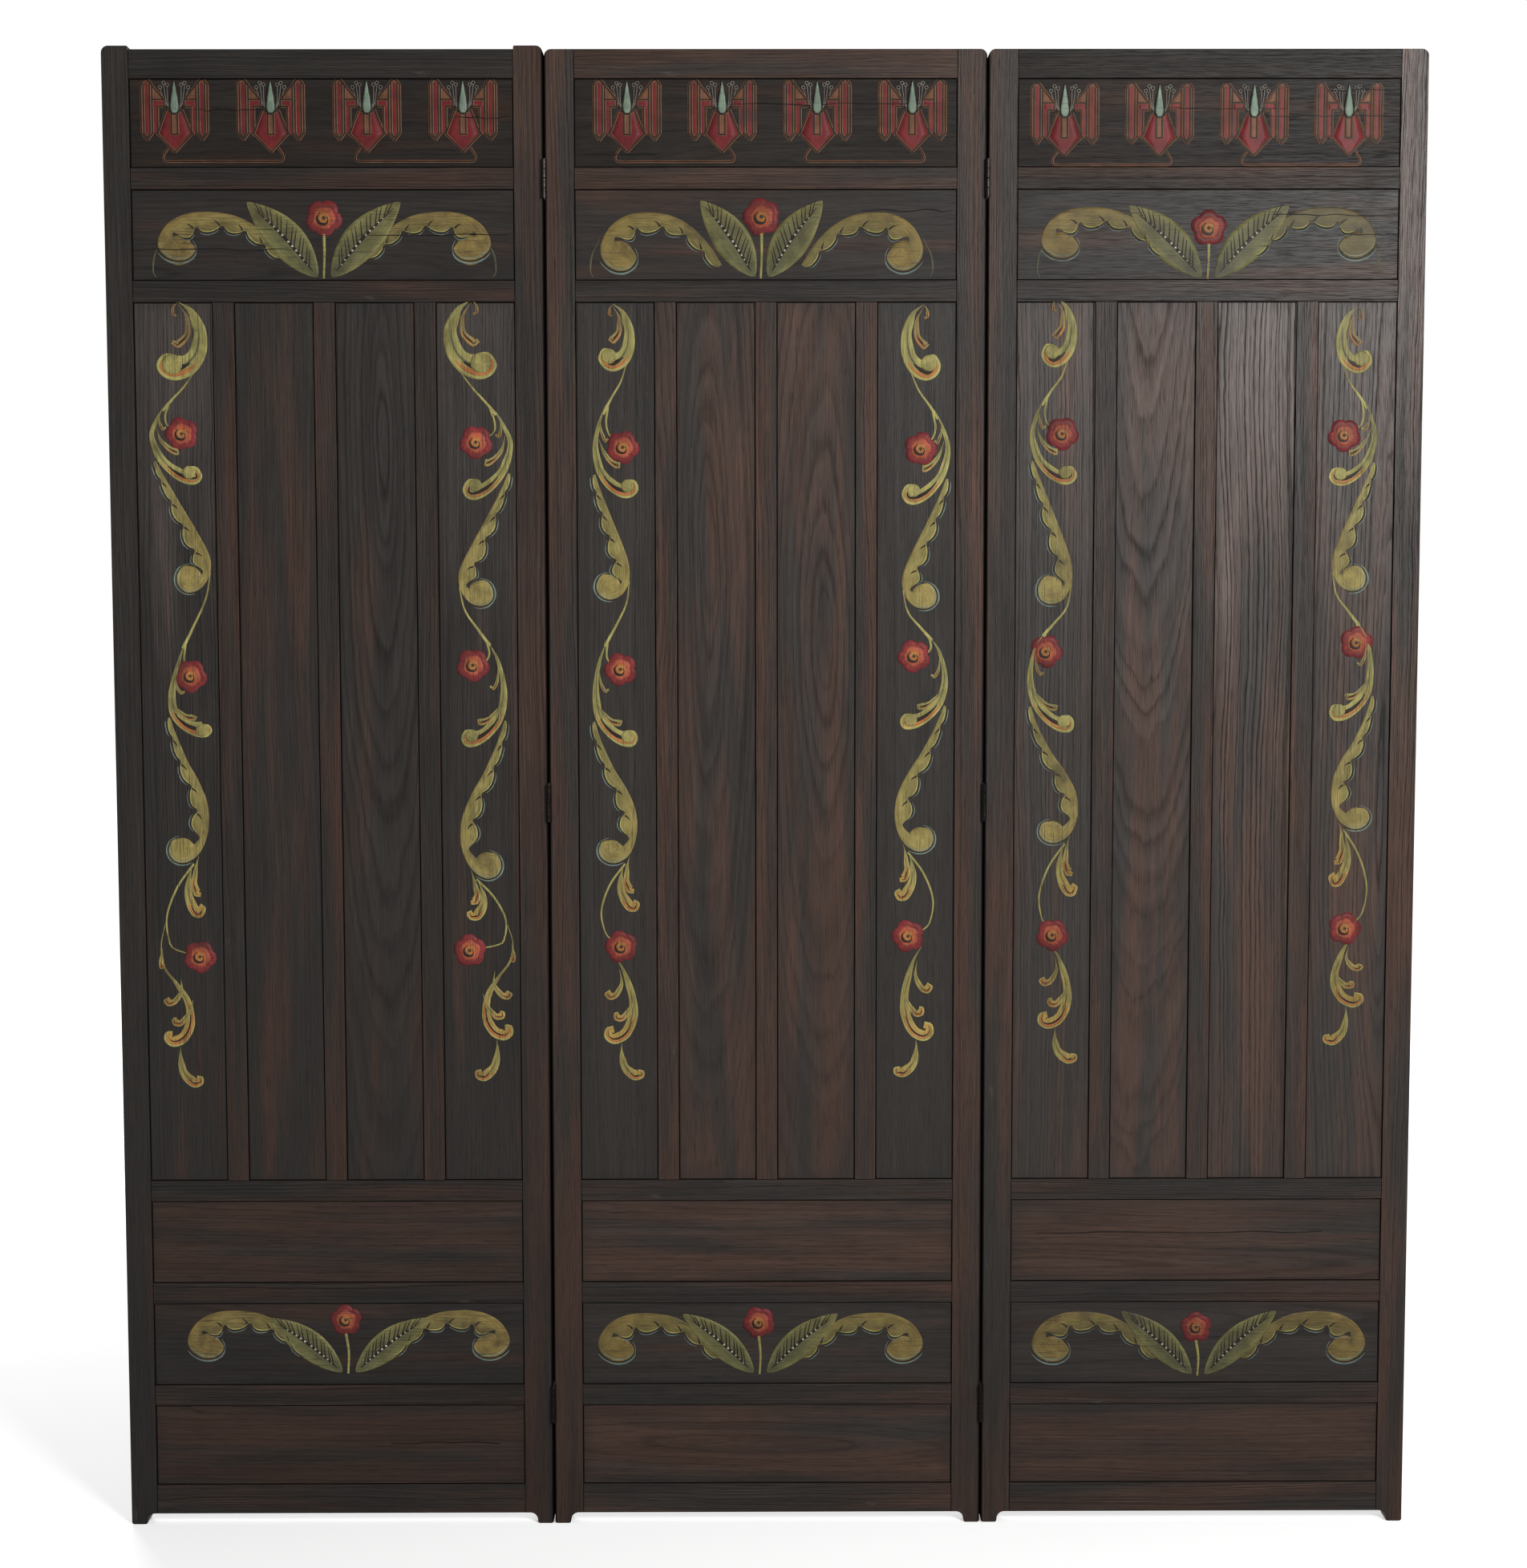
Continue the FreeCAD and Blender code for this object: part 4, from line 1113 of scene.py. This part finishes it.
def crack(painting, centre, start, end, level):
    """A fine split that wanders a little along the grain."""
    points = [(centre + start + (end - start) * k / CRACK_STEPS,
               level + painting.chance.uniform(-CRACK_STRAY, CRACK_STRAY)) for k in range(CRACK_STEPS + 1)]
    painting.stroke(points, CRACK_WIDTH, PORE_AND_SHADE_BLACK, 10, count=40)


frieze_paint = paint_material("old_paint_frieze", "level", 0.0)
for leaf in LEAVES:
    centre, body = leaf_centre[leaf], f"{leaf}_panel"
    tall_face = span(f"{leaf}_tall_boards")[0].y
    paint = {grain: paint_material(f"old_paint_{leaf}_{grain}", grain, LOOKS[leaf].wear, tone)
             for grain, tone in LOOKS[leaf].paint.items()}
    for hand, side in ((-1, "first"), (1, "last")):
        vine = Painting(f"{leaf}_vine_{side}", body, tall_face, paint["upright"], "plain_boards")
        paint_vine(vine, centre + hand * OUTER_BOARD, hand, VINES[leaf, hand])
        vine.finish()
    for board, name in PICTURES.items():
        picture = Painting(f"{leaf}_{name}", body, span(f"{leaf}_{board}")[0].y,
                           frieze_paint if board == "frieze_board" else paint["level"], "painted_boards")
        if board == "frieze_board":
            paint_frieze(picture, centre, *FRIEZES[leaf])
        elif (leaf, board) in MOTIFS:
            paint_motif(picture, centre, board, MOTIFS[leaf, board])
        for start, end, level in CRACKS.get((leaf, board), ()):
            crack(picture, centre, start, end, level)
        if picture.points:
            picture.finish()
    if leaf in OPEN_JOINTS:
        gaps = Painting(f"{leaf}_open_joints", body, tall_face, paint["upright"], "plain_boards")
        for x, low, high in OPEN_JOINTS[leaf]:
            gaps.stroke([(centre + x, level) for level in (low, (low + high) / 2, high)], OPEN_WIDTH, PORE_AND_SHADE_BLACK, 0)
        gaps.finish()


# Screws in the hinge leaves, seen when the screen is folded

SCREW_RADIUS = 2.5
SCREW_RISE = 0.25
SCREW_ARC = 12
SCREW_RINGS = 3
SLOT_HALF = 0.4
SCREW_PLACES = ((-5.0, -14.0), (5.0, 0.0), (-5.0, 14.0))
LEAF_FACE = 1.6
HINGE_LEVELS = (146.0, 865.0, 1584.0)
SCREW_STEEL = iron_material("screw_steel", colour(60, 57, 54), colour(44, 35, 30), 0.9)


def screw_head(points, faces, x, y, z, out):
    """Two domed half discs with the driver's slot sunk between them; out is the way the head faces."""
    lean = 0.3 + 0.11 * (len(points) % 7)
    turn, cross = math.cos(lean), math.sin(lean)
    for half in (-1, 1):
        quads = grid(len(points), SCREW_RINGS + 1, SCREW_ARC + 1)
        for r in range(SCREW_RINGS + 1):
            share = r / SCREW_RINGS
            px = x + out * SCREW_RISE * (1 - 0.8 * share ** 4)
            for k in range(SCREW_ARC + 1):
                angle = math.pi * k / SCREW_ARC
                u = SCREW_RADIUS * share * math.cos(angle)
                v = half * max(SLOT_HALF, SCREW_RADIUS * share * math.sin(angle))
                points.append((px * MM, (y + u * turn - v * cross) * MM, (z + u * cross + v * turn) * MM))
        faces += quads if half * out > 0 else [quad[::-1] for quad in quads]


def hinge_screws(name, body, joint_x, out):
    """The screws of one row of hinge leaves."""
    points, faces = [], []
    for level in HINGE_LEVELS:
        for y, z in SCREW_PLACES:
            screw_head(points, faces, joint_x - out * LEAF_FACE, y, level + z, out)
    piece = new_piece(name, points, faces, SCREW_STEEL)
    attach(piece, body)


for joint, bodies in JOINTS.items():
    low, high = span(f"{joint}_hinge_lower_links")
    for body, row, out in zip(bodies, "ab", (1, -1)):
        hinge_screws(f"{joint}_hinge_screws_{row}", body, (low.x + high.x) / 2, out)


# Floor, light and camera

WHITE = (1.0, 1.0, 1.0, 1.0)
PAPER = (0.8, 0.8, 0.8, 1.0)
FLOOR_HALF = 12.0
GLOW_REACH = (1100.0, 3200.0)
GLOW_NEAR = 0.4
WORLD_LIGHT = 0.22
PHOTO_HEIGHT = 1955
PIXELS_OF_FOCUS = 3412.0
CAMERA_PLACE = (-0.018, -3.2, 1.159)
CAMERA_TURNS = ((-0.26, "Z"), (90 - 4.88, "X"), (-0.07, "Z"))


def stage_floor():
    """Pale paper that glows to white away from the screen."""
    shader = Shader(bpy.data.materials.new("studio_paper"))
    x, y, _ = shader.place()
    glow = shader.math("SQRT", x * x + y * y).remap(*GLOW_REACH, GLOW_NEAR, 1.0)
    paper = shader.surface({
        "Base Color": PAPER, "Roughness": 0.9, "Specular IOR Level": 0.0, "Emission Color": WHITE,
        "Emission Strength": glow * shader.seen_by_eye(1.0, 0.0)})
    corners = [(x * FLOOR_HALF, y * FLOOR_HALF, 0) for x, y in ((-1, -1), (1, -1), (1, 1), (-1, 1))]
    floor = new_piece("studio_floor", corners, [(0, 1, 2, 3)], paper)


def studio_world():
    world = bpy.data.worlds.new("studio_white")
    shader = Shader(world)
    background = shader.nodes["Background"]
    shader.feed(background.inputs["Color"], WHITE)
    shader.feed(background.inputs["Strength"], shader.seen_by_eye(1.0, WORLD_LIGHT))
    bpy.context.scene.world = world


def softbox(name, place, target, size, power):
    lamp = bpy.data.lights.new(name, "AREA")
    lamp.shape = "RECTANGLE"
    lamp.size, lamp.size_y = size
    lamp.energy = power
    holder = show(name, lamp)
    holder.location = place
    holder.rotation_euler = (Vector(target) - Vector(place)).to_track_quat("-Z", "Y").to_euler()


def photo_camera():
    """Stands where the photograph was taken from."""
    camera = bpy.data.cameras.new("photo_camera")
    camera.lens = PIXELS_OF_FOCUS / PHOTO_HEIGHT * camera.sensor_width
    holder = show("photo_camera", camera)
    stand = Matrix.Translation(CAMERA_PLACE)
    for degrees, axis in CAMERA_TURNS:
        stand = stand @ Matrix.Rotation(math.radians(degrees), 4, axis)
    holder.matrix_world = stand
    bpy.context.scene.camera = holder


stage_floor()
studio_world()
softbox("key_softbox", (1.68, -3.0, 2.1), (0.5, 0.0, 1.25), (1.2, 1.2), 160)
softbox("fill_softbox", (-2.6, -3.0, 2.0), (0.0, 0.0, 0.8), (2.0, 2.0), 12)
softbox("back_softbox", (-1.5, 3.5, 2.6), (0.0, 0.0, 0.9), (2.0, 2.0), 130)
photo_camera()
bpy.context.scene.view_settings.view_transform = "Standard"
